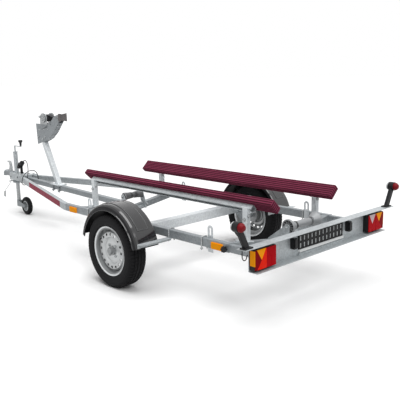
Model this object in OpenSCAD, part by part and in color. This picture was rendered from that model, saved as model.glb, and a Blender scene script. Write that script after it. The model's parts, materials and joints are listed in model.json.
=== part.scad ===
// Single-axle boat trailer with carpeted bunks, standing level on its jockey wheel.
// Millimetres. +X points forward along the drawbar, +Y to the trailer's left, +Z up.
// The origin lies on the ground under the middle of the trailer's length.

/* [Overall] */
// Axle centre to the front of the coupling
coupling_reach = 3200; // [2900:10:3500]
// Axle centre to the rear edge of the light beam
beam_reach = 1320; // [1200:10:1500]
// Gap between a rail's outer face and the tyre beside it
wheel_gap = 112.5; // [100:0.5:160]

/* [Wheels] */
// Outer diameter of a tyre
tyre_d = 547; // [500:1:600]
// Section width of a tyre
tyre_w = 155; // [140:1:170]
// Diameter over the rim's flanges
rim_d = 365; // [350:1:380]
// Distance between the rim's flanges, inside
rim_w = 114; // [100:1:127]
// Hub face outside the wheel's centre plane
wheel_offset = 30; // [20:1:40]
// Number of vent holes in the wheel disc
vent_count = 16; // [8:1:20]
// Diameter of a vent hole
vent_d = 20; // [12:1:24]
// Bolt circle of the wheel studs
stud_circle = 100; // [98:1:112]
// Diameter of the stub axle
stub_d = 30; // [25:1:35]

/* [Frame] */
// Height of the top of the rails
rail_top = 450; // [420:5:500]
// Height of a rail's section
rail_h = 60; // [50:1:80]
// Width of a rail's section
rail_w = 40; // [36:1:50]
// Wall of the rails
rail_t = 3; // [2:0.5:4]
// Distance between the rails' outer faces
frame_w = 1120; // [1080:5:1160]
// Rail end behind the axle
rail_rear = 950; // [900:5:1050]
// Corner where rail and drawbar leg meet, ahead of the axle
bend_x = 1010; // [950:5:1200]
// Radius of the rail's bend
bend_r = 200; // [120:10:300]
// Front end of the drawbar legs, ahead of the axle
leg_front = 2700; // [2500:10:2760]
// Half the distance between the legs' centre lines at their front end
leg_half = 62; // [56:1:80]
// Side of the square spine tube
spine_s = 50; // [40:1:60]
// Rise of the spine's front end over its rear end
spine_rise = 43; // [0:1:43]
// Side of the square cross-member tubes
cross_s = 50; // [40:1:60]
// Depth of the dip in the middle of each cross-member
cross_dip = 79; // [40:1:90]
// Front cross-member ahead of the axle
cross_front = 790; // [700:5:900]
// Rear cross-member behind the axle
cross_rear = 915; // [800:5:920]
// Front tie-down eyes ahead of the axle
eye_front = 672; // [600:1:720]
// Rear tie-down eyes behind the axle
eye_rear = 745; // [700:1:800]

/* [Axle] */
// Side of the axle beam's tube
axle_s = 75; // [60:1:90]
// Axle beam ahead of the wheel centres
axle_lead = 100; // [80:1:140]
// Thickness of the trailing arms
arm_t = 26; // [20:1:32]

/* [Fenders] */
// Outer radius of the fender's skin
fender_r = 350; // [335:1:380]
// Width of a fender
fender_w = 195; // [180:1:220]
// Thickness of the moulding
fender_t = 4; // [3:0.5:6]
// Height of the fender's lower ends over the ground
fender_low = 352; // [330:1:360]

/* [Bunks] */
// Length of a bunk
bunk_len = 2095; // [1800:5:2300]
// Width of a bunk's face
bunk_w = 104; // [90:1:130]
// Thickness of a bunk
bunk_t = 50; // [40:1:60]
// Tilt of the bunks' faces towards the keel
bunk_tilt = 44; // [30:1:50]
// Bunk centre line to the keel line
bunk_y = 315; // [280:1:360]
// Height of a bunk's centre line
bunk_z = 675; // [650:1:720]
// Middle of the bunks behind the axle
bunk_back = 87; // [40:1:140]
// Side of the square uprights
upright_s = 40; // [35:1:50]
// Uprights to the keel line
upright_y = 370; // [350:1:390]

/* [Jockey wheel] */
// Jockey tube ahead of the axle
jockey_x = 2920; // [2880:5:2930]
// Outer diameter of the jockey tube
jockey_d = 48; // [42:1:60]
// Diameter of the jockey's wheel
jockey_wheel_d = 200; // [180:5:230]
// Width of the jockey's tyre
jockey_wheel_w = 48; // [40:1:60]
// Jockey wheel behind its tube
jockey_trail = 180; // [150:5:200]

/* [Winch] */
// Side of the square winch post
post_s = 50; // [40:1:60]
// Foot of the post ahead of the axle
post_x = 2020; // [1900:5:2100]
// Forward lean of the post
post_lean = 28; // [10:1:32]
// Length of the post
post_len = 470; // [420:5:520]
// Number of teeth on the drum's gear
gear_teeth = 36; // [24:1:48]

/* [Keel rollers] */
// Length of the front keel roller
front_roller_len = 195; // [180:5:240]
// Length of the rear keel roller
rear_roller_len = 310; // [260:5:340]
// Diameter over the rear roller's cones
roller_d = 105; // [90:1:112]
// Diameter of a roller's waist
waist_d = 50; // [40:1:60]
// Diameter of a roller's spindle
spindle_d = 16; // [12:1:20]

/* [Lights] */
// Height of the light beam's top
beam_top = 524; // [510:1:540]
// Height of the light beam
beam_h = 162; // [150:1:180]
// Depth of the light beam's flanges
beam_depth = 68; // [50:1:80]
// Width over the beam's top flange
beam_w_top = 1600; // [1500:10:1680]
// Width over the beam's bottom flange
beam_w_low = 1400; // [1340:10:1460]
// How far the light beam pulls out
beam_travel = 400; // [100:10:500]
// Width of the number plate's holder
holder_w = 480; // [440:5:520]
// Height of the number plate's holder
holder_h = 110; // [100:1:120]
// Width of a tail lamp
lamp_w = 192; // [160:1:210]
// Height of a tail lamp
lamp_h = 127; // [110:1:135]
// Depth of a tail lamp
lamp_depth = 50; // [40:1:60]
// Front side reflectors ahead of the axle
reflector_front = 860; // [800:1:900]
// Rear side reflectors behind the axle
reflector_rear = 850; // [800:1:880]

/* [Hidden] */
$fn = 64;

// Running clearance of a turning shaft, on the radius
run_gap = 0.08;
// Clearance between faces that slide or stand beside each other
slide_gap = 0.5;
// Clearance under a piece that is bolted down
seat_gap = 0.1;
// Corner radius of the drawn tubes
tube_r = 5;

// Finishes
zinc = [0.72, 0.74, 0.76];
zinc_dark = [0.56, 0.58, 0.60];
black = [0.06, 0.06, 0.065];
maroon = [0.33, 0.08, 0.14];
amber = [0.95, 0.55, 0.05];
red = [0.70, 0.05, 0.08];

// Frame levels and places, measured from the axle's middle on the ground
marker_proud = 18;
overall_rear = beam_reach + marker_proud;
axle_x = -(coupling_reach - overall_rear) / 2;
wheel_z = tyre_d / 2;
rail_y = (frame_w - rail_w) / 2;
half_track = frame_w / 2 + wheel_gap + tyre_w / 2;
rail_in = rail_y - rail_w / 2;
rail_out = rail_y + rail_w / 2;
rail_z = rail_top - rail_h / 2;
rail_low = rail_top - rail_h;

// Drawbar legs
leg_angle = atan2(rail_y - leg_half, leg_front - bend_x);
bend_cut = bend_r * tan(leg_angle / 2);
leg_len = (leg_front - bend_x - bend_cut * cos(leg_angle)) / cos(leg_angle);

// Drawbar head: plates over and under the legs' front ends
head_t = 8;
head_rear = leg_front - 60;
head_front = jockey_x + jockey_d / 2 + 46;
head_half = 55;
head_web_x = head_rear;
head_over = 5;
shank_rear = jockey_x + jockey_d / 2 + 11;
ball_r = 25;
ball_x = coupling_reach - 40;
ball_z = rail_z + 15;

// Spine, from the front cross-member up to the drawbar head
spine_back = cross_front + cross_s / 2;
spine_z = rail_z - cross_dip + 26;
spine_slope = atan2(spine_rise, head_web_x - spine_back);

// Axle beam under the rails
pad_t = 6;
axle_t = 5;
axle_z = rail_low - pad_t - axle_s / 2;
arm_in = half_track - 150;
axle_half = arm_in;

// Fenders and their brackets
fender_y = half_track - 15;
fender_back = 14;
panel_lift = 3;
fender_turn = asin((fender_low - wheel_z) / (fender_r - panel_lift));
bracket_leg = 30;
bracket_w = 50;
bracket_t = 3;
bracket_x = sqrt(pow(fender_r - panel_lift, 2) - pow(rail_low - bracket_leg - wheel_z, 2)) + seat_gap;

// Bunks, their channels and uprights, as offsets in the tilted section
channel_w = 45;
channel_d = 35;
channel_t = 2.5;
channel_rear = -cross_rear - 60;
channel_front = cross_front + 60;
cap_t = 5;
cap_over = 6;
upright_shift = 18;
saddle_t = 6;
saddle_len = 100;
cross_slope = atan2(cross_dip, rail_in);

// Jockey wheel
clamp_h = 34;
jockey_top = rail_top + 240;
jockey_low = rail_low - head_t - clamp_h - 16;
jockey_wall = 2.5;
jockey_inner_r = jockey_d / 2 - jockey_wall - slide_gap;
inner_low = 150;
inner_top = jockey_top - 190;
swivel_r = 12;
swivel_len = 40;
fork_top = inner_low - 0.3;
fork_low = 78;
fork_t = 5;
fork_half = jockey_wheel_w / 2 + 6;
jockey_axle_d = 16;
jockey_rim_d = 112;

// Winch head, measured along the post and level from its top
post_z = spine_z + (post_x - spine_back) * tan(spine_slope) + spine_s / 2 / cos(spine_slope)
    + saddle_t + seat_gap;
head_x = post_x + post_len * sin(post_lean);
head_z = post_z + post_len * cos(post_lean);
cheek_t = 4;
cheek_gap = post_s + 0.6;
winch_x = head_x - 87;
deck_z = head_z + 195 + seat_gap;
winch_z = deck_z + 62;
winch_half = 45;
gear_r = 44;
gear_y = winch_half + 11;
gear_w = 8;
tooth_h = 5;
pinion_teeth = 11;
pinion_at = [52, 14];
pinion_gap = norm(pinion_at);
mesh_angle = atan2(pinion_at[1], pinion_at[0]);
bow_x = head_x - 328;
bow_z = head_z + 272;
pin_x = -258;
pin_z = 258;

// Keel rollers
front_roller_x = cross_front - 15;
front_roller_z = rail_z + 47;
front_roller_d = 68;
rear_roller_x = -cross_rear - 188;
rear_roller_z = rail_z + 88;
bell_len = 62;
bell_mouth = 30;
ear_t = 5;
ear_gap = 5.5;

// Light beam
beam_t = 3;
web_x = -beam_reach + beam_depth;
arm_h = rail_h - 2 * rail_t - 2 * slide_gap;
arm_w = rail_w - 2 * rail_t - 2 * slide_gap;
arm_in_rail = beam_travel + 200;
beam_arm_front = -rail_rear + arm_in_rail;
lamp_edge = 3;
lamp_z = beam_top - beam_h / 2 - 4.5;
lamp_y = beam_w_low / 2 - lamp_edge - lamp_w / 2;
strip_h = 16;
plate_z = beam_top - beam_t - 24 - holder_h / 2;

// Routes of the cables, points from the axle's middle: [ahead, left, up]
cable_d = 8;
plug_seat = [2826, 0, 550];
plug_tilt = 58;
plug_r = 22;
plug_ring = 14;
cable_route = [
    [2750, 0, 598], [2737, 0, 606], [2722, 0, 612], [2706, 1, 614], [2689, 2, 612], [2672, 4, 605],
    [2656, 6, 593],
    [2642, 9, 577], [2630, 13, 557], [2620, 18, 535], [2612, 24, 511], [2606, 31, 486], [2601, 38, 464],
    [2597, 45, 446], [2592, 52, 429], [2588, 57, 412], [2582, 60, 396], [2576, 70, 382], [2570, 84, 372],
    [2563, 100, 369], [2556, 116, 372], [2550, 130, 382], [2544, 140, 396], [2538, 143, 413],
    [2532, 143, 432],
    [2526, 140, 451], [2519, 133, 471], [2511, 121, 491], [2502, 105, 509], [2493, 86, 522], [2484, 64, 530],
    [2476, 43, 531], [2470, 23, 524], [2466, 8, 510], [2464, -2, 492], [2463, -8, 472], [2463, -10, 451],
    [2463, -10, 431]
];
safety_d = 6;
safety_route = [
    [2984, 44, 382], [2984, 44, 372], [2990, 46, 356], [3004, 48, 338], [3022, 50, 320], [3042, 52, 304],
    [3064, 54, 286], [3088, 55, 268], [3112, 56, 250], [3132, 57, 232]
];
lamp_cable_d = 6;
lamp_cable_route = [
    [-1286, 792, 521], [-1286, 792, 508], [-1286, 793, 495], [-1285, 791, 482], [-1283, 786, 470],
    [-1280, 777, 460],
    [-1276, 765, 453], [-1270, 750, 450], [-1262, 735, 449], [-1252, 720, 450], [-1241, 706, 451],
    [-1230, 694, 452],
    [-1221, 680, 453], [-1217, 665, 454], [-1220, 651, 454], [-1229, 642, 454], [-1239, 639, 454],
    [-1249, 639, 454]
];

// Plain shapes

function rounded(w, h, r, n = 3) = [
    for (c = [[1, 1, 0], [-1, 1, 90], [-1, -1, 180], [1, -1, 270]])
        for (i = [0:n])
            [c[0] * (w / 2 - r) + r * cos(c[2] + 90 * i / n), c[1] * (h / 2 - r) + r * sin(c[2] + 90 * i / n)]
];

module from_axle() {
    translate([axle_x, 0, 0]) children();
}

module both_sides() {
    children();
    mirror([0, 1, 0]) children();
}

module right_side() {
    mirror([0, 1, 0]) children();
}

// Hollow section lying in the drawing plane
module tube_section(w, h, t) {
    difference() {
        polygon(rounded(w, h, tube_r));
        polygon(rounded(w - 2 * t, h - 2 * t, tube_r - t + 0.5));
    }
}

// Stands a drawing in the plane across the trailer and draws it out forward
module forward(len) {
    rotate([90, 0, 90]) linear_extrude(len) children();
}

// Stands a drawing in the trailer's side plane, [ahead, up], and draws it out about the keel line
module sideways(width) {
    rotate([90, 0, 0]) linear_extrude(width, center = true) children();
}

// Turns a profile drawn as [radius, left] about a crosswise axle
module about_axle(angle = 360, start = 0) {
    rotate([-90, 0, 0]) rotate_extrude(angle = angle, start = start, $fn = 96) children();
}

module cross_rod(d, len) {
    rotate([90, 0, 0]) cylinder(d = d, h = len, center = true);
}

// Frame

module rail_side() {
    from_axle() translate([-rail_rear, rail_y, rail_z])
        forward(rail_rear + bend_x - bend_cut) tube_section(rail_w, rail_h, rail_t);
}

module left_rail() {
    color(zinc) rail_side();
}

module right_rail() {
    color(zinc) right_side() rail_side();
}

// Leg of the drawbar: a bend that leaves the rail, and a straight run to the head
module leg_side() {
    from_axle() translate([bend_x - bend_cut, rail_y - bend_r, rail_z]) {
        rotate_extrude(angle = leg_angle, start = 90 - leg_angle, $fn = 128)
            translate([bend_r, 0]) tube_section(rail_w, rail_h, rail_t);
        rotate([0, 0, -leg_angle]) translate([0, bend_r, 0])
            forward(leg_len) tube_section(rail_w, rail_h, rail_t);
    }
}

module left_drawbar_leg() {
    color(zinc) leg_side();
}

module right_drawbar_leg() {
    color(zinc) right_side() leg_side();
}

module spine() {
    color(zinc_dark) from_axle() intersection() {
        translate([spine_back, 0, spine_z]) rotate([0, -spine_slope, 0]) translate([-60, 0, 0])
            forward(head_web_x - spine_back + 120) tube_section(spine_s, spine_s, 3);
        translate([spine_back, -spine_s, 0]) cube([head_web_x - spine_back, 2 * spine_s, rail_top * 2]);
    }
}

// Outline of a cross-member across the trailer: level with the rails, dipped in the middle
function vee(half_h) = [
    [-rail_in, rail_z + half_h], [0, rail_z - cross_dip + half_h], [rail_in, rail_z + half_h],
    [rail_in, rail_z - half_h], [0, rail_z - cross_dip - half_h], [-rail_in, rail_z - half_h]
];

module cross_member() {
    wall = 3;
    half_h = cross_s / 2 / cos(cross_slope);
    translate([-cross_s / 2, 0, 0]) difference() {
        forward(cross_s) polygon(vee(half_h));
        translate([wall, 0, 0]) forward(cross_s - 2 * wall) polygon(vee(half_h - wall));
    }
}

module front_cross_member() {
    color(zinc_dark) from_axle() translate([cross_front, 0, 0]) cross_member();
}

module rear_cross_member() {
    color(zinc_dark) from_axle() translate([-cross_rear, 0, 0]) cross_member();
}

// Box of plates that holds the legs, the spine, the jockey tube and the coupling
function leg_y(x) = leg_half + (leg_front - x) * tan(leg_angle);

module head_plan() {
    flare = rail_w / 2 / cos(leg_angle) + head_over;
    side = [
        [head_rear, leg_y(head_rear) + flare], [leg_front, leg_half + flare],
        [leg_front + 60, head_half], [head_front, head_half]
    ];
    polygon([for (p = side) p, for (i = [len(side) - 1:-1:0]) [side[i][0], -side[i][1]]]);
}

module drawbar_head() {
    cheek_rear = leg_front + 60;
    cheek_t = 6;
    color(zinc) from_axle() difference() {
        union() {
            for (z = [rail_low - head_t, rail_top])
                translate([0, 0, z]) linear_extrude(head_t) head_plan();
            for (s = [-1, 1])
                translate([cheek_rear, s * (head_half - cheek_t / 2) - cheek_t / 2, rail_low - 1])
                    cube([head_front - cheek_rear, cheek_t, rail_h + 2]);
            translate([head_web_x, -spine_s / 2 - 8, rail_low - 1]) cube([head_t, spine_s + 16, rail_h + 2]);
        }
        translate([jockey_x, 0, 0]) cylinder(d = jockey_d + 0.6, h = 2 * rail_top);
        for (x = [cheek_rear + 45, head_front - 22])
            translate([x, 0, rail_z]) rotate([90, 0, 0])
                cylinder(d = x < jockey_x ? 26 : 12.5, h = 4 * head_half, center = true);
    }
}

// Pressed coupling: a box shank and a domed head with a ball socket open below
module coupling_head() {
    shank_w = 2 * (head_half - 6) - 1;
    shank_h = rail_h - 1;
    dome_r = 38;
    neck_z = ball_z + 4;
    color(zinc_dark) from_axle() difference() {
        union() {
            translate([shank_rear, 0, rail_z]) forward(head_front + 8 - shank_rear)
                polygon(rounded(shank_w, shank_h, 6));
            translate([head_front + 4, 0, neck_z]) forward(ball_x - head_front - 4)
                polygon(rounded(64, 54, 10));
            translate([ball_x, 0, ball_z]) sphere(r = dome_r);
            translate([ball_x, 0, ball_z - 26]) cylinder(r = dome_r - 0.5, h = 26);
            translate([ball_x, 0, ball_z - 26]) cylinder(r = dome_r + 2, h = 6);
        }
        translate([ball_x, 0, ball_z]) sphere(r = ball_r + 0.3);
        translate([ball_x, 0, ball_z - 40]) cylinder(r = ball_r, h = 40);
        translate([shank_rear - 1, 0, rail_z]) forward(head_front - shank_rear)
            polygon(rounded(shank_w - 8, shank_h - 8, 3));
        translate([head_front - 22, 0, rail_z]) cross_rod(12.5, 4 * head_half);
    }
}

// Locking lever over the coupling's dome, with a finger loop
module coupling_handle() {
    lever_w = 26;
    seat_z = ball_z + 4 + 27;
    color(zinc) from_axle() translate([ball_x - 92, 0, seat_z]) difference() {
        sideways(lever_w) polygon([
            [-32, 0], [34, 0], [30, 14], [6, 26], [-6, 60], [2, 96], [40, 104], [40, 114], [-8, 112],
            [-26, 84],
            [-30, 40]
        ]);
        sideways(lever_w - 10) polygon([[-24, 12], [14, 10], [-12, 24], [-16, 60], [-22, 60]]);
    }
}

// Axle

module axle_beam() {
    pad_len = 150;
    color(zinc) from_axle() translate([axle_lead, 0, axle_z]) {
        rotate([0, 0, 90]) translate([-axle_half, 0, 0])
            forward(2 * axle_half) tube_section(axle_s, axle_s, axle_t);
        for (s = [-1, 1])
            translate([-pad_len / 2, s * rail_y - rail_w / 2 - 4, axle_s / 2 - 1])
                cube([pad_len, rail_w + 8, pad_t + 1]);
    }
}

// Trailing arm with its torsion shaft's end, and the stub axle that carries the hub
module arm_side() {
    stub_out = half_track + wheel_offset + 12;
    from_axle() {
        translate([0, arm_in + arm_t, 0]) rotate([90, 0, 0]) linear_extrude(arm_t) union() {
            translate([0, wheel_z]) circle(d = 66);
            translate([axle_lead, axle_z]) circle(d = axle_s + 6);
            polygon([
                [-20, wheel_z + 20], [axle_lead - 25, axle_z + 27], [axle_lead + 22, axle_z - 28],
                [16, wheel_z - 24]
            ]);
        }
        translate([axle_lead, arm_in, axle_z]) rotate([90, 0, 0]) cylinder(d = 58, h = 30);
        translate([0, arm_in + arm_t - 1, wheel_z]) rotate([-90, 0, 0]) cylinder(d = 52, h = 24);
        translate([0, arm_in + arm_t, wheel_z]) rotate([-90, 0, 0])
            cylinder(d = stub_d, h = stub_out - arm_in - arm_t);
    }
}

module left_axle_arm() {
    color(zinc_dark) arm_side();
}

module right_axle_arm() {
    color(zinc_dark) right_side() arm_side();
}

// Wheels, drawn about their own centre with the outside to the left

module wheel_place() {
    translate([axle_x, half_track, wheel_z]) children();
}

// Hub with its flange, drum and dust cap, bored for the stub axle
module hub_side() {
    face = wheel_offset;
    barrel = 34;
    wheel_place() difference() {
        about_axle() polygon([
            [0, -38], [56, -38], [59, -34], [59, face - 16], [72, face - 10], [72, face], [barrel, face],
            [barrel, face + 16], [24, face + 18], [24, face + 34], [20, face + 38], [0, face + 38]
        ]);
        translate([0, -39, 0]) rotate([-90, 0, 0])
            cylinder(r = stub_d / 2 + run_gap, h = 39 + face + 16);
    }
}

module left_hub() {
    color(black) hub_side();
}

module right_hub() {
    color(black) right_side() hub_side();
}

// Pressed wheel: a rolled rim with a drop centre, and a dished disc with vent and stud holes
module rim_side() {
    w = rim_w / 2;
    seat_r = rim_d / 2 - 17;
    well_r = seat_r - 20;
    sheet = 3.5;
    lip = 8;
    face = wheel_offset;
    crown = rim_w / 2 - 10;
    vent_r = well_r - 24;
    wheel_place() {
        difference() {
            union() {
                about_axle() polygon([
                    [rim_d / 2, -w - lip], [rim_d / 2, -w - lip + sheet], [seat_r + 12, -w], [seat_r, -w + 2],
                    [seat_r - 1, -w + 24], [well_r, -w + 34], [well_r, w - 46], [seat_r - 1, w - 30],
                    [seat_r, w - 2], [seat_r + 12, w], [rim_d / 2, w + lip - sheet], [rim_d / 2, w + lip],
                    [seat_r + 9, w + sheet], [seat_r - sheet, w + 1], [seat_r - sheet - 1, w - 28],
                    [well_r - sheet, w - 43], [well_r - sheet, -w + 31], [seat_r - sheet - 1, -w + 21],
                    [seat_r - sheet, -w - 1], [seat_r + 9, -w - sheet]
                ]);
                about_axle() polygon([
                    [well_r - 1, crown - 30], [well_r - 1, crown - 12], [vent_r + 14, crown - 2],
                    [vent_r - 10, crown],
                    [vent_r - 22, crown - 3], [vent_r - 32, crown - 14], [78, face + 5], [70, face + 4],
                    [34.5, face + 4], [34.5, face], [73, face], [82, face + 1],
                    [vent_r - 28, crown - 19], [vent_r - 18, crown - 8], [vent_r - 8, crown - 4],
                    [vent_r + 11, crown - 6], [well_r - 5, crown - 16], [well_r - 5, crown - 30]
                ]);
            }
            for (i = [0:vent_count - 1])
                rotate([0, 360 / vent_count * i, 0]) translate([vent_r, crown - 40, 0])
                    rotate([-90, 0, 0]) cylinder(d = vent_d, h = 60, $fn = 24);
            for (i = [0:3])
                rotate([0, 45 + 90 * i, 0]) translate([stud_circle / 2, face - 4, 0])
                    rotate([-90, 0, 0]) cylinder(d = 14, h = 16, $fn = 24);
        }
    }
}

module left_rim() {
    color(zinc) rim_side();
}

module right_rim() {
    color(zinc) right_side() rim_side();
}

// Tyre section: beads on the rim's seats, rounded walls and a flat tread
module tyre_side() {
    r = tyre_d / 2;
    w = tyre_w / 2;
    bead_r = rim_d / 2 - 16.6;
    bead = rim_w / 2 - 2.6;
    half = [
        [bead_r, bead], [bead_r + 12, bead + 2.2], [rim_d / 2 + 0.5, bead + 6.4], [rim_d / 2 + 5, bead + 12],
        [rim_d / 2 + 22, w - 2],
        [r - 50, w], [r - 28, w - 3], [r - 13, w - 11], [r - 4, w - 22], [r, w - 38]
    ];
    inner = [[bead_r, bead - 16], [rim_d / 2 + 8, bead - 8], [r - 40, w - 10], [r - 12, w - 40]];
    wheel_place() about_axle() polygon([
        for (p = half) p,
        for (i = [len(half) - 1:-1:0]) [half[i][0], -half[i][1]],
        for (p = inner) [p[0], -p[1]],
        for (i = [len(inner) - 1:-1:0]) inner[i]
    ]);
}

module left_tyre() {
    color(black) tyre_side();
}

module right_tyre() {
    color(black) right_side() tyre_side();
}

// Fenders

// Skin of the moulding as [radius, left], with a rolled outer lip and an inner flange
module fender_skin() {
    w = fender_w / 2;
    r = fender_r;
    t = fender_t;
    top = r - panel_lift;
    polygon([
        [r - 34, -w], [r - 8, -w], [top, -w + 7], [top, w - 26], [r - 8, w - 12], [r - 18, w - 3],
        [r - 40, w], [r - 42, w + 5], [r - 48, w + 5], [r - 48, w - t], [r - 20, w - t - 3],
        [r - 12, w - 15], [top - t, w - 26 - t], [top - t, -w + 7 + t], [r - 10, -w + t], [r - 34, -w + t]
    ]);
}

module fender_side() {
    panel = fender_w * 0.46;
    panel_turn = 34;
    top = fender_r - panel_lift;
    translate([axle_x - fender_back, fender_y, wheel_z]) {
        about_axle(180 - 2 * fender_turn, 180 + fender_turn) fender_skin();
        about_axle(180 - 2 * panel_turn, 180 + panel_turn)
            polygon([
                [top - 2, -panel / 2 - 4], [top, -panel / 2 - 3], [fender_r, -panel / 2],
                [fender_r, panel / 2], [top, panel / 2 + 3], [top - 2, panel / 2 + 4]
            ]);
    }
}

module left_fender() {
    color(black) fender_side();
}

module right_fender() {
    color(black) right_side() fender_side();
}

// Angle bars that reach out from under the rails to the fenders' lower ends
module fender_brackets() {
    reach_in = rail_in + 5;
    // Side of the axle, width of the flange and outer end of each bar
    bars = [[-1, bracket_w, fender_y + fender_w / 2 - 8], [1, bracket_leg, fender_y]];
    color(zinc) from_axle() both_sides() for (b = bars)
        translate([b[0] * bracket_x - fender_back, reach_in, rail_low]) rotate([90, 0, 0])
            mirror([0, 0, 1]) linear_extrude(b[2] - reach_in) polygon([
                [0, 0], [b[0] * b[1], 0], [b[0] * b[1], -bracket_t], [b[0] * bracket_t, -bracket_t],
                [b[0] * bracket_t, -bracket_leg], [0, -bracket_leg]
            ]);
}

// Bunks

// Tilted frame of a bunk's section: its middle, with the drawing's Y along the face's normal
module bunk_section() {
    translate([bunk_y, bunk_z]) rotate(bunk_tilt) children();
}

module bunk_side() {
    from_axle() translate([-bunk_back - bunk_len / 2, 0, 0])
        forward(bunk_len) bunk_section() polygon(rounded(bunk_w, bunk_t, 8));
}

module left_bunk() {
    color(maroon) bunk_side();
}

module right_bunk() {
    color(maroon) right_side() bunk_side();
}

// Open channel with inturned lips under each bunk
module bunk_channels() {
    w = channel_w / 2;
    t = channel_t;
    lip = 9;
    color(zinc) from_axle() both_sides() translate([channel_rear, 0, 0])
        forward(channel_front - channel_rear) bunk_section() translate([0, -bunk_t / 2]) polygon([
            [-w, 0], [w, 0], [w, -channel_d], [w - lip, -channel_d], [w - lip, -channel_d + t],
            [w - t, -channel_d + t],
            [w - t, -t], [-w + t, -t], [-w + t, -channel_d + t], [-w + lip, -channel_d + t],
            [-w + lip, -channel_d], [-w, -channel_d]
        ]);
}

// Upright between a cross-member's saddle and a channel's cap plate
module upright_side(x, shift) {
    cap_low = -bunk_t / 2 - channel_d - cap_t;
    saddle_z = rail_z - cross_dip * (1 - upright_y / rail_in) + cross_s / 2 / cos(cross_slope) + seat_gap;
    cut = 5 * upright_s;
    translate([x, 0, 0]) {
        translate([shift, 0, 0]) difference() {
            translate([0, upright_y, saddle_z - upright_s]) linear_extrude(bunk_z - saddle_z + 2 * upright_s)
                tube_section(upright_s, upright_s, 3);
            translate([-upright_s, 0, 0]) forward(2 * upright_s) bunk_section()
                translate([-bunk_w * 2, cap_low + 0.5]) square([bunk_w * 4, bunk_w * 2]);
            translate([-upright_s, upright_y, saddle_z]) rotate([cross_slope, 0, 0])
                translate([0, -upright_s * 2, -cut])
                    cube([2 * upright_s, upright_s * 4, cut + saddle_t - 0.5]);
        }
        translate([shift - upright_s / 2 - cap_over, 0, 0]) forward(upright_s + 2 * cap_over) bunk_section()
            translate([-24, cap_low]) square([62, cap_t]);
        translate([0, upright_y, saddle_z]) rotate([cross_slope, 0, 0]) translate([0, 0, saddle_t / 2])
            cube([cross_s + 30, saddle_len, saddle_t], center = true);
    }
}

module bunk_uprights() {
    color(zinc) from_axle() both_sides() for (s = [-1, 1])
        upright_side(s > 0 ? cross_front : -cross_rear, s * upright_shift);
}

// Slotted tie-down strips, bolted inside the rails
module tie_down_eyes() {
    strip_w = 46;
    strip_t = 5;
    slot_w = 18;
    slot_len = 54;
    bridge = 15;
    low = rail_low - 42;
    high = rail_top + 80;
    slot_high = high - bridge - slot_w / 2;
    slot_low = slot_high - slot_len + slot_w;
    color(zinc_dark) from_axle() both_sides() for (x = [-eye_rear, eye_front])
        translate([x, rail_in - strip_t, 0]) rotate([90, 0, 0]) mirror([0, 0, 1]) linear_extrude(strip_t)
            difference() {
                union() {
                    translate([-strip_w / 2, low]) square([strip_w, high - strip_w / 2 - low]);
                    translate([0, high - strip_w / 2]) circle(d = strip_w);
                }
                translate([-slot_w / 2, slot_low]) square([slot_w, slot_high - slot_low]);
                for (z = [slot_low, slot_high]) translate([0, z]) circle(d = slot_w);
            }
}

// Winch stand

module winch_post() {
    plate_len = 190;
    plate_w = 96;
    plate_shift = 10;
    cut = 6 * post_s;
    color(zinc) from_axle() {
        difference() {
            translate([post_x, 0, post_z]) rotate([0, post_lean, 0]) translate([0, 0, -60])
                linear_extrude(post_len + 60) tube_section(post_s, post_s, 3);
            translate([post_x, 0, post_z]) rotate([0, -spine_slope, 0])
                translate([-cut, -post_s, -cut]) cube([2 * cut, 2 * post_s, cut - 0.5]);
        }
        translate([post_x, 0, post_z]) rotate([0, -spine_slope, 0])
            translate([plate_shift - plate_len / 2, -plate_w / 2, -saddle_t])
                cube([plate_len, plate_w, saddle_t]);
    }
}

// Folded bracket: two cheeks joined by a web along their lower rear edge, and a pin for the strap
module winch_bracket() {
    // Side outlines from the post's top: [ahead, up]
    cheek = [
        [110, 195], [-150, 195], [-262, 282], [-330, 298], [-346, 290], [-349, 262], [-352, 236], [-235, 120],
        [-135, 50], [-28, 12], [98, -20]
    ];
    holes = [[-187, 195], [-107, 148], [60, 130]];
    slot = [[-3, 140], [-111, 180], [-117, 167], [-9, 127]];
    web_line = [[-32, 16], [-134, 52], [-233, 122], [-330, 213]];
    web = [for (p = web_line) p, for (i = [len(web_line) - 1:-1:0]) web_line[i] + [2, cheek_t]];
    color(zinc_dark) from_axle() translate([head_x, 0, head_z]) difference() {
        union() {
            for (s = [-1, 1])
                translate([0, s * (cheek_gap + cheek_t) / 2, 0]) sideways(cheek_t) polygon(cheek);
            sideways(cheek_gap + cheek_t) polygon(web);
            translate([pin_x, 0, pin_z]) cross_rod(10, cheek_gap + cheek_t);
        }
        translate([bow_x - head_x, 0, bow_z - head_z]) cross_rod(12 + 2 * run_gap, 4 * cheek_gap);
        for (p = holes) translate([p[0], 0, p[1]]) cross_rod(15, 4 * cheek_gap);
        sideways(4 * cheek_gap) polygon(slot);
    }
}

// Winch frame: a deck plate and two cheeks that hold the drum's shaft
module winch_frame() {
    plate = 4;
    color(zinc) from_axle() translate([winch_x, 0, winch_z]) difference() {
        union() {
            for (s = [-1, 1])
                translate([0, s * (winch_half + plate / 2), 0]) sideways(plate) polygon([
                    [-62, -62], [72, -62], [74, -30], [66, 20], [40, 46], [0, 52], [-40, 40], [-56, 0]
                ]);
            translate([-62, -winch_half - 1, -62]) cube([134, 2 * winch_half + 2, plate]);
        }
        cross_rod(16 + 2 * run_gap, 4 * winch_half);
        translate([pinion_at[0], 0, pinion_at[1]]) cross_rod(14 + 2 * run_gap, 4 * winch_half);
    }
}

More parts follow.
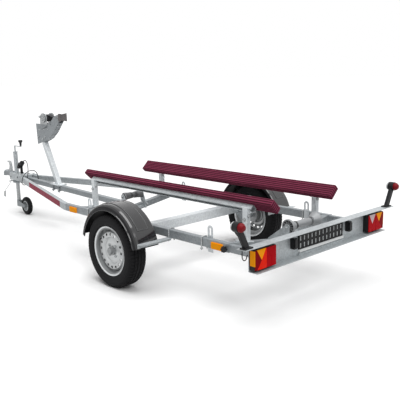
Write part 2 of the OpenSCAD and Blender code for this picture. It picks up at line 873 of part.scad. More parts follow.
// Drum with end flanges, its shaft and its toothed gear
module winch_drum() {
    flange_y = winch_half - 6;
    tooth = 360 / gear_teeth;
    color(zinc_dark) from_axle() translate([winch_x, 0, winch_z]) {
        cross_rod(16, 2 * winch_half + 40);
        cross_rod(34, 2 * flange_y - 2);
        for (s = [-1, 1])
            translate([0, s * (flange_y - 2), 0]) cross_rod(92, 4);
        translate([0, gear_y, 0]) rotate([90, 0, 0]) linear_extrude(gear_w, center = true) difference() {
            union() {
                circle(r = gear_r - tooth_h + 1);
                for (i = [0:gear_teeth - 1])
                    rotate((i + 0.5) * tooth + mesh_angle) translate([gear_r - tooth_h, 0])
                        polygon([[0, -2.6], [tooth_h, -1.3], [tooth_h, 1.3], [0, 2.6]]);
            }
            for (i = [0:4]) rotate(72 * i) translate([24, 0]) circle(d = 14);
        }
    }
}

// Pinion shaft with its crank arm and grip on the right
module winch_crank() {
    arm_y = -winch_half - 24;
    arm_len = 190;
    root_r = pinion_gap - gear_r - 0.5;
    tip = pinion_gap - gear_r + tooth_h - 0.5 - root_r;
    color(zinc) from_axle() translate([winch_x + pinion_at[0], 0, winch_z + pinion_at[1]]) {
        cross_rod(14, 2 * winch_half + 56);
        translate([0, gear_y, 0]) rotate([90, 0, 0]) linear_extrude(gear_w, center = true) union() {
            circle(r = root_r);
            for (i = [0:pinion_teeth - 1])
                rotate(180 + mesh_angle + i * 360 / pinion_teeth) translate([root_r - 0.5, 0])
                    polygon([[0, -1.7], [tip, -0.8], [tip, 0.8], [0, 1.7]]);
        }
        translate([0, arm_y, 0]) rotate([0, 152, 0]) {
            translate([-13, -4, -14]) cube([26, 6, arm_len]);
            translate([0, -96, arm_len - 28]) rotate([-90, 0, 0]) cylinder(d = 14, h = 94);
            translate([0, -96, arm_len - 28]) rotate([-90, 0, 0]) cylinder(d = 30, h = 84);
        }
    }
}

// Webbing wound on the drum, with a run back to the bow stop
module winch_strap() {
    half = winch_half - 11;
    wound_r = 37;
    web = 3.5;
    end_x = head_x + pin_x - 8 - winch_x;
    end_z = head_z + pin_z + 5.2 - winch_z;
    color(black) from_axle() translate([winch_x, 0, winch_z]) {
        difference() {
            cross_rod(2 * wound_r, 2 * half);
            cross_rod(34.6, 4 * half);
        }
        sideways(46) polygon([
            [0, wound_r], [0, wound_r - web], [end_x, end_z], [end_x, end_z + web]
        ]);
    }
}

// Rubber bow stop: a block between the cheeks that spreads into a V for the bow, on one bolt
module bow_stop() {
    root = cheek_gap / 2 - 0.5;
    half = cheek_gap / 2 + cheek_t + 10;
    color([0.2, 0.18, 0.18]) from_axle() translate([bow_x, 0, bow_z]) {
        intersection() {
            linear_extrude(120, center = true) polygon([
                [16, root], [-25, root], [-25, 40], [-44, 46], [-58, 44], [-34, 0], [-58, -44], [-44, -46],
                [-25, -40], [-25, -root], [16, -root]
            ]);
            sideways(120) polygon([
                [16, -22], [-20, -22], [-25, -28], [-58, -41], [-58, 41], [-25, 28], [-20, 22], [16, 22]
            ]);
        }
        cross_rod(12, 2 * half);
    }
}

// Jockey wheel

module jockey_place() {
    translate([axle_x + jockey_x, 0, 0]) children();
}

module jockey_tube() {
    color(zinc) jockey_place() difference() {
        union() {
            translate([0, 0, jockey_low]) cylinder(d = jockey_d, h = jockey_top - jockey_low);
            translate([0, 0, jockey_top - 1]) cylinder(d = jockey_d + 4, h = 9);
        }
        translate([0, 0, jockey_low - 1])
            cylinder(r = jockey_d / 2 - jockey_wall, h = jockey_top - jockey_low - 20);
    }
}

// Split collar under the head's lower plate, with its clamping screw and bar handle
module jockey_clamp() {
    r_in = jockey_d / 2 + 0.3;
    z = rail_low - head_t - clamp_h;
    color(zinc_dark) jockey_place() {
        difference() {
            union() {
                translate([0, 0, z]) cylinder(r = r_in + 7, h = clamp_h);
                translate([-14, r_in - 2, z]) cube([28, 26, clamp_h]);
            }
            translate([0, 0, z - 1]) cylinder(r = r_in, h = clamp_h + 2);
            translate([-2, 0, z - 1]) cube([4, r_in + 40, clamp_h + 2]);
        }
        translate([14, r_in + 14, z + clamp_h / 2]) rotate([0, 90, 0]) cylinder(d = 12, h = 40);
        translate([50, r_in + 14, z + clamp_h / 2]) rotate([90, 0, 0]) cylinder(d = 9, h = 90, center = true);
    }
}

// Cranked spindle with its arm and upright grip
module jockey_crank() {
    z = jockey_top + 8;
    arm = 140;
    rise = 66;
    color(zinc) jockey_place() {
        translate([0, 0, z]) cylinder(d = 16, h = rise);
        translate([-arm - 7, -7, z + rise - 6]) cube([arm + 14, 14, 8]);
        translate([-arm, 0, z + rise - 2]) cylinder(d = 10, h = 60);
    }
    color(black) jockey_place() translate([-arm, 0, z + rise + 6]) rotate_extrude() polygon([
        [5, 0], [11, 0], [12, 20], [15, 36], [22, 44], [24, 56], [20, 64], [0, 66], [0, 60], [5, 60]
    ]);
}

module jockey_inner_tube() {
    color(zinc) jockey_place() {
        translate([0, 0, inner_low]) cylinder(r = jockey_inner_r, h = inner_top - inner_low);
        translate([0, 0, inner_low - swivel_len]) cylinder(r = swivel_r, h = swivel_len + 1);
    }
}

// Swivelling fork: a bush round the inner tube's pin, and two plates back to the wheel's axle
module jockey_fork() {
    wheel_r = jockey_wheel_d / 2;
    color(zinc_dark) jockey_place() difference() {
        union() {
            translate([0, 0, fork_low]) cylinder(r = jockey_inner_r + 1.5, h = fork_top - fork_low);
            translate([-40, -fork_half - fork_t, fork_low + 4])
                cube([24, 2 * (fork_half + fork_t), fork_top - fork_low - 10]);
            for (s = [-1, 1])
                translate([0, s * (fork_half + fork_t / 2), 0]) sideways(fork_t) union() {
                    polygon([
                        [-17, fork_low + 4], [-17, fork_top - 6], [-50, fork_top - 6],
                        [-jockey_trail, wheel_r + 17], [-jockey_trail, wheel_r - 17], [-50, fork_low + 4]
                    ]);
                    translate([-jockey_trail, wheel_r]) circle(r = 17.5);
                }
            translate([-jockey_trail, 0, wheel_r]) cross_rod(jockey_axle_d, 2 * (fork_half + fork_t + 6));
        }
        translate([0, 0, inner_low - swivel_len - 1]) cylinder(r = swivel_r + run_gap, h = swivel_len + 2);
    }
}

module jockey_wheel_place() {
    jockey_place() translate([-jockey_trail, 0, jockey_wheel_d / 2]) children();
}

// Moulded rim with a bored hub, a web and five lightening holes
module jockey_rim() {
    r = jockey_rim_d / 2;
    half = jockey_wheel_w / 2 - 4;
    color(zinc) jockey_wheel_place() difference() {
        about_axle() polygon([
            [jockey_axle_d / 2 + run_gap, -half - 4], [20, -half - 4], [21, -5], [r - 9, -5], [r - 8, -half],
            [r, -half], [r, half], [r - 8, half], [r - 9, 5], [21, 5], [20, half + 4],
            [jockey_axle_d / 2 + run_gap, half + 4]
        ]);
        for (i = [0:4])
            rotate([0, 72 * i, 0]) translate([(r + 12) / 2, 0, 0]) cross_rod(18, 40);
    }
}

module jockey_tyre() {
    r = jockey_wheel_d / 2;
    half = jockey_wheel_w / 2;
    r_in = jockey_rim_d / 2;
    color(black) jockey_wheel_place() about_axle() polygon([
        [r_in, -half + 4], [r_in + 8, -half], [r - 22, -half], [r - 8, -half + 5], [r - 2, -half + 12],
        [r, -half + 19], [r, half - 19], [r - 2, half - 12], [r - 8, half - 5], [r - 22, half],
        [r_in + 8, half],
        [r_in, half - 4]
    ]);
}

// Keel rollers

// Bell at a roller's left end: a cone whose open mouth holds ribs between its wall and its hub
module roller_bell(d, half) {
    neck = half - bell_len;
    hub_r = spindle_d / 2 + 7;
    floor = half - bell_mouth;
    wall = 6;
    rib_t = 3;
    ribs = 12;
    about_axle() polygon([
        [0, neck], [waist_d / 2 + 4, neck], [waist_d / 2 + 4, neck + 10], [d / 2, half - 14],
        [d / 2, half - 3],
        [d / 2 - 3, half], [d / 2 - wall, half], [hub_r + wall, floor], [hub_r, floor], [hub_r, half],
        [0, half]
    ]);
    for (i = [0:ribs - 1])
        rotate([0, 360 / ribs * i, 0]) linear_extrude(rib_t, center = true) polygon([
            [hub_r - 1, floor - 1], [hub_r - 1, half - 3], [d / 2 - wall + 1, half - 3],
            [hub_r + wall + 1, floor - 1]
        ]);
}

// Roller of three pieces, bored for its spindle: a body with two raised rings between two bells
module keel_roller(d, len) {
    body = len / 2 - bell_len - seat_gap;
    ring_r = waist_d / 2 + 3;
    difference() {
        union() {
            cross_rod(waist_d, 2 * body);
            for (s = [-1, 1])
                translate([0, s * (body - 14), 0]) cross_rod(2 * ring_r, 10);
            both_sides() roller_bell(d, len / 2);
        }
        cross_rod(spindle_d + 2 * run_gap, 2 * len);
    }
}

// Bracket: two ears that carry the roller's spindle, bolted to a cross-member's face at face_x
module roller_bracket(x, z, face_x, len) {
    ear_y = len / 2 + ear_gap;
    seat_z = rail_z - cross_dip * (1 - ear_y / rail_in);
    low = seat_z - 16;
    high = seat_z + cross_s / 2 / cos(cross_slope) + 8;
    strap = 5;
    for (s = [-1, 1])
        translate([0, s * (ear_y + ear_t / 2), 0]) sideways(ear_t) union() {
            translate([x, z]) circle(d = 44);
            polygon([
                [x - 20, z + 8], [x + 20, z + 8], [max(x + 21, face_x + 46), high], [face_x + 46, low],
                [face_x, low], [face_x, high], [min(x - 21, face_x - 1), high + 10]
            ]);
        }
    translate([face_x, -ear_y - ear_t, low]) cube([strap, 2 * (ear_y + ear_t), 26]);
    translate([x, 0, z]) cross_rod(spindle_d, 2 * (ear_y + ear_t + 8));
}

module front_roller() {
    color(black) from_axle() translate([front_roller_x, 0, front_roller_z])
        keel_roller(front_roller_d, front_roller_len);
}

module front_roller_bracket() {
    color(zinc) from_axle() mirror([1, 0, 0])
        roller_bracket(-front_roller_x, front_roller_z,
            cross_s / 2 - cross_front + seat_gap, front_roller_len);
}

module rear_roller() {
    color(black) from_axle() translate([rear_roller_x, 0, rear_roller_z])
        keel_roller(roller_d, rear_roller_len);
}

module rear_roller_bracket() {
    color(zinc) from_axle() mirror([1, 0, 0])
        roller_bracket(-rear_roller_x, rear_roller_z, cross_rear + cross_s / 2 + seat_gap, rear_roller_len);
}

// Light beam

// Folded channel, open to the rear, with a ledge under the plate; its arms telescope into the rails
module light_beam() {
    low = beam_top - beam_h;
    ledge_t = 12;
    ledge_h = 18;
    color(zinc) from_axle() {
        translate([web_x, -beam_w_low / 2, low]) cube([beam_t, beam_w_low, beam_h]);
        translate([-beam_reach, -beam_w_top / 2, beam_top - beam_t])
            cube([beam_depth + beam_t, beam_w_top, beam_t]);
        translate([-beam_reach, -beam_w_low / 2, low]) cube([beam_depth + beam_t, beam_w_low, beam_t]);
        translate([web_x - ledge_t, -holder_w / 2, low]) cube([ledge_t + 1, holder_w, ledge_h]);
    }
}

module beam_arms() {
    color(zinc_dark) from_axle() both_sides() translate([web_x + beam_t, rail_y, rail_z])
        forward(beam_arm_front - web_x - beam_t) tube_section(arm_w, arm_h, 3);
}

// Lamp body with a stepped lens, in the channel's end
module lamp_side() {
    tray = 10;
    step = 4;
    lens_w = lamp_w - 4;
    lens_h = lamp_h - 8;
    color(red) from_axle() translate([web_x, lamp_y, lamp_z]) rotate([0, 0, 180]) {
        forward(tray) polygon(rounded(lamp_w, lamp_h, 8));
        forward(lamp_depth - step) polygon(rounded(lens_w, lens_h, 9));
        forward(lamp_depth) polygon(rounded(lens_w - 2 * step, lens_h - 2 * step, 8));
    }
}

module left_tail_lamp() {
    lamp_side();
}

module right_tail_lamp() {
    right_side() lamp_side();
}

// Holder for the number plate: a slotted panel, and a hooked strip below that takes the plate's edge
module plate_holder() {
    panel_t = 10;
    hook = 4;
    slot = [16, 30];
    pitch = holder_w / 12;
    row = 22;
    panel_h = holder_h - strip_h;
    color(black) from_axle() translate([web_x, 0, plate_z]) rotate([0, 0, 180]) {
        translate([0, 0, strip_h / 2]) difference() {
            forward(panel_t) polygon(rounded(holder_w, panel_h, 4));
            for (i = [-5.5:5.5], z = [-row, row])
                translate([-1, 0, 0]) forward(panel_t + 2) translate([i * pitch, z])
                    square(slot, center = true);
        }
        translate([0, -holder_w / 2, -holder_h / 2]) rotate([90, 0, 0]) mirror([0, 0, 1])
            linear_extrude(holder_w) polygon([
                [0, 0], [panel_t + 2 * hook, 0], [panel_t + 2 * hook, strip_h], [panel_t + hook, strip_h],
                [panel_t + hook, hook], [panel_t, hook], [panel_t, strip_h + 2], [0, strip_h + 2]
            ]);
    }
}

// Lamps beside the holder, which light the plate from its ends
module plate_lamps() {
    body_w = 34;
    body_h = 72;
    body_d = 30;
    hood = 8;
    gap = 42;
    y = holder_w / 2 + gap + body_w / 2;
    color(black) from_axle() both_sides() translate([web_x, y, plate_z + strip_h]) rotate([0, 0, 180]) {
        forward(body_d) polygon(rounded(body_w, body_h, 6));
        forward(body_d + hood) polygon(rounded(body_w - hood, body_h - 2 * hood, 5));
    }
}

// Marker lamps on rubber stalks that lean outwards from the beam's ends, lenses to the front and the rear
module marker_lamps() {
    foot_w = 68;
    foot_t = 8;
    foot_y = beam_w_top / 2 - foot_w / 2 - 11;
    lean = 27;
    stalk = 150;
    sunk = 40;
    head_d = 62;
    head_half = 20;
    lens_d = head_d - 8;
    reach = beam_depth / 2 + marker_proud;
    head_profile = [
        [0, -reach + 16], [lens_d / 2 - 10, -reach + 20], [lens_d / 2, -head_half - 12],
        [lens_d / 2, -head_half],
        [head_d / 2, -head_half], [head_d / 2, head_half], [lens_d / 2, head_half],
        [lens_d / 2, head_half + 14],
        [lens_d / 2 - 10, reach - 4], [0, reach]
    ];
    color(black) from_axle() both_sides() translate([-beam_reach + beam_depth / 2, foot_y, beam_top]) {
        translate([-22, -foot_w / 2, 0]) cube([44, foot_w, foot_t]);
        difference() {
            rotate([-lean, 0, 0]) translate([0, 0, -sunk])
                linear_extrude(stalk + sunk) polygon(rounded(24, 40, 6));
            translate([-foot_w, -2 * sunk, -2 * sunk]) cube([2 * foot_w, 4 * sunk, 2 * sunk + foot_t / 2]);
        }
        rotate([-lean, 0, 0]) translate([0, 0, stalk + 8]) rotate([lean, 0, 0]) rotate([0, -90, 0])
            rotate_extrude() polygon(head_profile);
    }
}

module side_reflectors() {
    reflector_w = 106;
    reflector_h = 46;
    back_t = 6;
    lens_t = 3;
    border = 4;
    color(amber) from_axle() both_sides() for (x = [-reflector_rear, reflector_front])
        translate([x, rail_out, rail_z - 5]) rotate([90, 0, 0]) mirror([0, 0, 1]) {
            linear_extrude(back_t) polygon(rounded(reflector_w, reflector_h, 6));
            linear_extrude(back_t + lens_t)
                polygon(rounded(reflector_w - 2 * border, reflector_h - 2 * border, 5));
        }
}

// Lobed knobs whose screws clamp the beam's arms in the rails
module beam_knobs() {
    color(black) from_axle() both_sides() translate([-rail_rear + 22, rail_out, rail_z - 6])
        rotate([-90, 0, 0]) {
            cylinder(d = 18, h = 10);
            translate([0, 0, 9]) linear_extrude(20) union() {
                circle(d = 34);
                for (i = [0:5]) rotate(60 * i) translate([15, 0]) circle(d = 12, $fn = 24);
            }
        }
}

// Cables

// Post on the drawbar head with a ring that parks the plug
module plug_holder() {
    ring_r = plug_r + 9;
    post_t = 8;
    post_w = 28;
    foot_x = plug_seat[0] - ring_r * cos(plug_tilt) - plug_ring / 2 * sin(plug_tilt);
    top_z = plug_seat[2] - ring_r * sin(plug_tilt) + plug_ring / 2 * cos(plug_tilt) + 3;
    color(black) from_axle() {
        translate([foot_x - post_t / 2, -post_w / 2, rail_top + head_t])
            cube([post_t, post_w, top_z - rail_top - head_t]);
        translate(plug_seat) rotate([0, -plug_tilt, 0]) difference() {
            cylinder(r = ring_r, h = plug_ring);
            translate([0, 0, -1]) cylinder(r = plug_r + 0.4, h = plug_ring + 2);
        }
    }
}

module trailer_plug() {
    color(black) from_axle() translate(plug_seat) rotate([0, -plug_tilt, 0]) {
        translate([0, 0, -45]) cylinder(r = plug_r, h = 62);
        translate([0, 0, plug_ring + 0.3]) cylinder(r = plug_r + 4, h = 46);
        translate([0, 0, plug_ring + 46]) cylinder(r1 = plug_r + 2, r2 = 8, h = 30);
    }
}

function unit(v) = v / norm(v);

function along(route, i) =
    unit(route[min(i + 1, len(route) - 1)] - route[max(i - 1, 0)]);

function ring(route, i, r, sides) =
    let (t = along(route, i), ref = abs(t[2]) > 0.9 ? [0, 1, 0] : [0, 0, 1])
    let (u = unit(cross(ref, t)), v = cross(t, u))
    [for (k = [0:sides - 1]) route[i] + r * (u * cos(360 * k / sides) + v * sin(360 * k / sides))];

// Round cable swept along its route
module cable(route, d, sides) {
    n = len(route);
    points = [for (i = [0:n - 1]) each ring(route, i, d / 2, sides)];
    walls = [for (i = [0:n - 2]) for (k = [0:sides - 1])
        let (a = i * sides + k, b = i * sides + (k + 1) % sides)
            each [[a, b, b + sides], [a, b + sides, a + sides]]];
    polyhedron(points, concat(
        [[for (k = [sides - 1:-1:0]) k]], walls, [[for (k = [0:sides - 1]) (n - 1) * sides + k]]
    ));
}

module trailer_cable() {
    color(black) from_axle() cable(cable_route, cable_d, 8);
}

module safety_cable() {
    color(zinc_dark) from_axle() cable(safety_route, safety_d, 8);
}

// Spring hook at the safety cable's end
module safety_hook() {
    end = safety_route[len(safety_route) - 1];
    color(zinc) from_axle() translate(end + [10, 0, -36]) rotate([0, -14, 0]) rotate([90, 0, 0])
        linear_extrude(8, center = true) difference() {
            polygon(rounded(34, 70, 15, 6));
            polygon(rounded(20, 54, 9, 6));
        }
}

module lamp_cable() {
    color(black) from_axle() cable(lamp_cable_route, lamp_cable_d, 8);
}

left_rail();
right_rail();
left_drawbar_leg();
right_drawbar_leg();
spine();
front_cross_member();
rear_cross_member();
drawbar_head();
coupling_head();
coupling_handle();
axle_beam();
left_axle_arm();
right_axle_arm();
left_hub();
right_hub();
left_rim();
right_rim();
left_tyre();
right_tyre();
left_fender();
right_fender();
fender_brackets();
left_bunk();
right_bunk();
bunk_channels();
bunk_uprights();
tie_down_eyes();
winch_post();
winch_bracket();
winch_frame();
winch_drum();
winch_crank();
winch_strap();
bow_stop();
jockey_tube();
jockey_clamp();
jockey_crank();
jockey_inner_tube();
jockey_fork();
jockey_rim();
jockey_tyre();
front_roller_bracket();
front_roller();
rear_roller_bracket();
rear_roller();
light_beam();
beam_arms();
left_tail_lamp();
right_tail_lamp();
plate_holder();
plate_lamps();
marker_lamps();
side_reflectors();
beam_knobs();
plug_holder();
trailer_plug();
trailer_cable();
safety_cable();
safety_hook();
lamp_cable();
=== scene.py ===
# %% [markdown]
# # A boat trailer, dressed for its picture
# The construction comes ready made: rails, axle, wheels, winch and lights stand in their places, in
# metres, with +X pointing forward along the drawbar and +Z up. This lesson adds what the eye expects on
# top: zinc with its spangle, tyre tread, ribbed carpet, lenses and the many small fasteners. Nothing that
# was delivered is moved.

# %% Load the trailer
import json
import math

import bpy
from mathutils import Matrix, Vector


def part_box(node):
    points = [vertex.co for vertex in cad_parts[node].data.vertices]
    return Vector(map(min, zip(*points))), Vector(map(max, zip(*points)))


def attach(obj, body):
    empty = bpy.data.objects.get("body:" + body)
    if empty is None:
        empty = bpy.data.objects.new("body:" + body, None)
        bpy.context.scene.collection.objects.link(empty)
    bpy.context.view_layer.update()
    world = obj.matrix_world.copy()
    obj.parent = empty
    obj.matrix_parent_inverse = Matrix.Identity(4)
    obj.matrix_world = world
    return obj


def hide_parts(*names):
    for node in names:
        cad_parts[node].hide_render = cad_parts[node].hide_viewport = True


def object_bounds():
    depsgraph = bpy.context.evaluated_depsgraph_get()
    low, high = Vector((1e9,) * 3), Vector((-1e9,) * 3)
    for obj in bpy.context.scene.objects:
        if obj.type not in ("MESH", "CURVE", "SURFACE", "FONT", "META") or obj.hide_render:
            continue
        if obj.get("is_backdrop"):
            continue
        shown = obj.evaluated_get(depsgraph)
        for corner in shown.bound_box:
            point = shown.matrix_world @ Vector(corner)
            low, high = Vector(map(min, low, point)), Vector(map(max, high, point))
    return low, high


MM = 0.001

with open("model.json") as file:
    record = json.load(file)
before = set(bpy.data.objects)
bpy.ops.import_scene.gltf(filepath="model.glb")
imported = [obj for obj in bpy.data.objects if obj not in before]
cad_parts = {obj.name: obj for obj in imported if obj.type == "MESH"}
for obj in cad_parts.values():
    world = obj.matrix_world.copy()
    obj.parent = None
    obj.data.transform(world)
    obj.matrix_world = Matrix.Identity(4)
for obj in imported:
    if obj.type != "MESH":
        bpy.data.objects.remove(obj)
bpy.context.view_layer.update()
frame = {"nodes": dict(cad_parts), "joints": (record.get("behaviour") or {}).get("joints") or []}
nodes = frame["nodes"]
spot = {j["name"]: Vector(j["pos_m"]) for j in frame["joints"] if "pos_m" in j}
axle_x = spot["left_wheel_spin"].x
scene = bpy.context.scene
print(len(nodes), "nodes, axle at", round(axle_x, 3))

# %% [markdown]
# ## Camera
# The picture was taken from behind the left rear corner, a little above the winch, with the camera tipped
# by about a degree. A camera needs a place, a direction and a roll. `to_track_quat` turns a direction into
# a rotation, and the roll is one more turn about the line of sight.

# %% Place the camera
CAMERA_PLACE = Vector((-3.652 + axle_x, 3.323, 1.520))
CAMERA_AIM = Vector((0.7158, -0.6696, -0.1984))
CAMERA_ROLL = math.radians(-1.41)
LENS_MM = 56.8
SENSOR_MM = 36
SIGHT_LIMIT = 200

camera_data = bpy.data.cameras.new("camera")
camera_data.sensor_width = SENSOR_MM
camera_data.lens = LENS_MM
camera_data.clip_end = SIGHT_LIMIT
camera = bpy.data.objects.new("camera", camera_data)
scene.collection.objects.link(camera)
turn = CAMERA_AIM.to_track_quat("-Z", "Y").to_matrix().to_4x4()
camera.matrix_world = Matrix.Translation(CAMERA_PLACE) @ turn @ Matrix.Rotation(CAMERA_ROLL, 4, "Z")
scene.camera = camera
print("camera", [round(v, 3) for v in camera.location], "lens", LENS_MM)

# %% [markdown]
# ## Shader sums
# Node trees get hard to read when every sum is three lines of wiring. A small class that wraps one socket
# lets Python's own operators add the Math nodes, so `1 - mask` means just that. Every other node goes
# through one method, which takes its type, its settings and its inputs.


# %% A socket that can be reckoned with
class Signal:
    """One output of a node tree, for use in sums; without a socket, only the tree to add nodes to."""

    def __init__(self, tree, socket=None):
        self.tree = tree
        self.socket = socket

    def node(self, kind, settings=None, inputs=None, out=0):
        """Adds a node: its settings first, then the values or links of its inputs."""
        made = self.tree.nodes.new("ShaderNode" + kind)
        for name, value in (settings or {}).items():
            setattr(made, name, value)
        for name, value in (inputs or {}).items():
            if isinstance(value, Signal):
                self.tree.links.new(value.socket, made.inputs[name])
            else:
                made.inputs[name].default_value = value
        return Signal(self.tree, made.outputs[out])

    def reckon(self, operation, other=0.0):
        """This value, and a second one where the operation takes two, through a Math node."""
        return self.node("Math", {"operation": operation}, {0: self, 1: other})

    def __add__(self, other):
        return self.reckon("ADD", other)

    def __sub__(self, other):
        return self.reckon("SUBTRACT", other)

    def __rsub__(self, other):
        return self.node("Math", {"operation": "SUBTRACT"}, {0: other, 1: self})

    def __mul__(self, other):
        return self.reckon("MULTIPLY", other)

    def __truediv__(self, other):
        return self.reckon("DIVIDE", other)

    def __rtruediv__(self, other):
        return self.node("Math", {"operation": "DIVIDE"}, {0: other, 1: self})

    def __gt__(self, other):
        return self.reckon("GREATER_THAN", other)

    def __lt__(self, other):
        return self.reckon("LESS_THAN", other)

    __radd__ = __add__
    __rmul__ = __mul__

    def mix(self, first, second):
        """A colour between two, by this value."""
        inputs = {0: self, 6: first, 7: second}
        return self.node("Mix", {"data_type": "RGBA"}, inputs, out=2)

    def between(self, low, high):
        """This value, taken from 0..1 to low..high."""
        return self * (high - low) + low

    def noise(self, scale, detail=3.0, roughness=0.5):
        inputs = {0: self, "Scale": scale, "Detail": detail, "Roughness": roughness}
        return self.node("TexNoise", inputs=inputs)

    def cells(self, scale, out="Distance"):
        return self.node("TexVoronoi", inputs={0: self, "Scale": scale}, out=out)

    def stretched(self, x, y, z):
        """Coordinates drawn out along the axes."""
        return self.node("VectorMath", {"operation": "MULTIPLY"}, {0: self, 1: (x, y, z)})

    def part(self, axis):
        return self.node("SeparateXYZ", inputs={0: self}, out=axis)

    def normal(self, axis):
        """One part of the direction that the surface faces."""
        return self.node("NewGeometry", out="Normal").part(axis)

    def inside(self, low, high):
        """One where coordinates lie within a box, else zero; None leaves a side open."""
        tests = [self.part(axis) > a for axis, a in zip("XYZ", low) if a is not None]
        tests += [self.part(axis) < b for axis, b in zip("XYZ", high) if b is not None]
        mask = tests[0]
        for test in tests[1:]:
            mask = mask * test
        return mask

    def bump(self, strength, distance):
        inputs = {"Strength": strength, "Distance": distance, "Height": self}
        return self.node("Bump", inputs=inputs)


print("a socket can be reckoned with")

# %% [markdown]
# ## Materials
# Each finish is one material with a Principled shader. A value that is the same all over the surface is set
# on the shader's own socket; what varies is linked to it. A second colour is laid over the first by a mask,
# which can cut across a solid's faces where a second material can't.

# %% Material helpers
FINISHES = {}


def finish(name, **fixed):
    """A new material: its Principled shader with its fixed values, and its object coordinates."""
    material = bpy.data.materials.new(name)
    material.use_nodes = True
    tree = material.node_tree
    shader = tree.nodes["Principled BSDF"]
    for socket, value in fixed.items():
        shader.inputs[socket.replace("_", " ")].default_value = value
    FINISHES[name] = material
    return shader, Signal(tree).node("TexCoord", out="Object")


def feed(shader, **signals):
    """Links varying values to the shader's sockets."""
    for socket, value in signals.items():
        value.tree.links.new(value.socket, shader.inputs[socket.replace("_", " ")])


def tone(red, green, blue):
    return (red, green, blue, 1.0)


def tint(shader, mask, colour):
    """Lays a colour over a finish where the mask is one."""
    under = Signal(mask.tree, shader.inputs["Base Color"].links[0].from_socket)
    feed(shader, Base_Color=mask.mix(under, colour))


def paint(shader, mask, colour):
    """Lays on a colour that isn't metal; the first one laid also takes the metal away there."""
    tint(shader, mask, colour)
    metal = shader.inputs["Metallic"]
    if metal.default_value and not metal.is_linked:
        feed(shader, Metallic=mask.between(metal.default_value, 0.0))


print("material helpers ready")

# %% [markdown]
# ## Zinc
# The frame is dipped in molten zinc. As it cools it freezes in flat crystals, the spangle, each with its
# own shine, and run-off leaves soft clouds. An image would have to be unwrapped over every tube; object
# coordinates need no unwrapping. Voronoi cells give every crystal one random grey, and a wide noise gives
# the clouds. Both go to colour and roughness, so that the crystals also catch the light differently.

# %% Galvanised steel
# dark grey, pale grey, crystals to the metre, roughness
PALE_ZINC = (tone(0.26, 0.28, 0.29), tone(0.62, 0.66, 0.68), 95.0, 0.40)


def zinc(name, dark, pale, spangle, rough):
    shader, place = finish(name, Metallic=0.3, Specular_IOR_Level=0.4)
    grain = place.cells(spangle, "Color")
    crystal = grain.node("SeparateColor", inputs={0: grain})
    cloud = place.noise(3.2, 4.0)
    streak = place.stretched(1, 1, 6).noise(14.0, 2.0)
    blend = crystal * 0.35 + cloud * 0.55 + streak * 0.25
    feed(
        shader,
        Base_Color=blend.mix(dark, pale),
        Roughness=(crystal * 0.5 + cloud * 0.5).between(rough - 0.09, rough + 0.12),
        Normal=(place.noise(420.0, 2.0) + crystal * 0.4).bump(0.05, 0.8 * MM),
    )
    return shader, place


zinc("zinc", *PALE_ZINC)
# a paler copy of the zinc for parts that face the light: painted highlight
zinc("zinc_painted_highlight", tone(0.50, 0.53, 0.55), tone(0.86, 0.90, 0.92), 80.0, 0.36)
zinc("zinc_rail", tone(0.15, 0.165, 0.175), tone(0.40, 0.43, 0.45), 95.0, 0.42)
zinc("zinc_dull", tone(0.14, 0.155, 0.163), tone(0.38, 0.41, 0.43), 120.0, 0.46)
zinc("zinc_bright", tone(0.24, 0.255, 0.26), tone(0.60, 0.62, 0.63), 260.0, 0.26)
print("zinc finishes", [n for n in FINISHES if "zinc" in n])

# %% [markdown]
# ## Painted stripe on the drawbar
# A wine-red band runs along the outer face of each drawbar leg. Paint is too thin to model, so the band is
# a mask in the leg's own zinc: one where the place lies between two stations of the leg and on its outer
# face. The leg has one specular level for zinc and paint, kept low so that the red stays deep.

# %% Drawbar leg with its band
BAND_REAR = axle_x + 1.13
BAND_FRONT = axle_x + 2.27
BAND_EDGE = 3 * MM
BAND_SHINE = 0.035
# the least part of the normal that counts as facing outward
OUTWARD = 0.6


def banded_leg():
    shader, place = zinc("zinc_band", *PALE_ZINC)
    shader.inputs["Specular IOR Level"].default_value = BAND_SHINE
    low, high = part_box("left_drawbar_leg")
    outer = place.part("Y").reckon("SIGN") * place.normal("Y") > OUTWARD
    band = place.inside((BAND_REAR, None, low.z + BAND_EDGE), (BAND_FRONT, None, high.z - BAND_EDGE))
    wear = place.noise(60.0, 4.0)
    paint(shader, band * outer, wear.mix(tone(0.27, 0.006, 0.034), tone(0.36, 0.014, 0.056)))


banded_leg()
print("band from", round(BAND_REAR, 2), "to", round(BAND_FRONT, 2))

# %% [markdown]
# ## Paint, rubber and plastic
# The jockey's rim and the hubs are sprayed silver. Rubber is matt and never quite black, with dust in its
# pores. Moulded plastic has a fine leather grain from its tool, which a small Voronoi bump gives. One
# function serves them all, because they differ only in tones, roughness and grain.


# %% Wheel paint, rubber and plastics
def speckled(name, dark, pale, rough, grain, depth, scale=5.0, **fixed):
    """A finish with soft clouds in its colour and a fine surface grain."""
    shader, place = finish(name, **fixed)
    cloud = place.noise(scale, 4.0, 0.6)
    fine = place.cells(grain)
    feed(
        shader,
        Base_Color=cloud.mix(dark, pale),
        Roughness=cloud.between(rough - 0.06, rough + 0.08),
        Normal=fine.bump(depth, 0.6 * MM),
    )
    return shader, place


SILVER = {"Metallic": 0.55, "Coat_Weight": 0.25, "Coat_Roughness": 0.2}
SOOT = (tone(0.010, 0.010, 0.011), tone(0.024, 0.024, 0.026))
DULL = {"Specular_IOR_Level": 0.18}

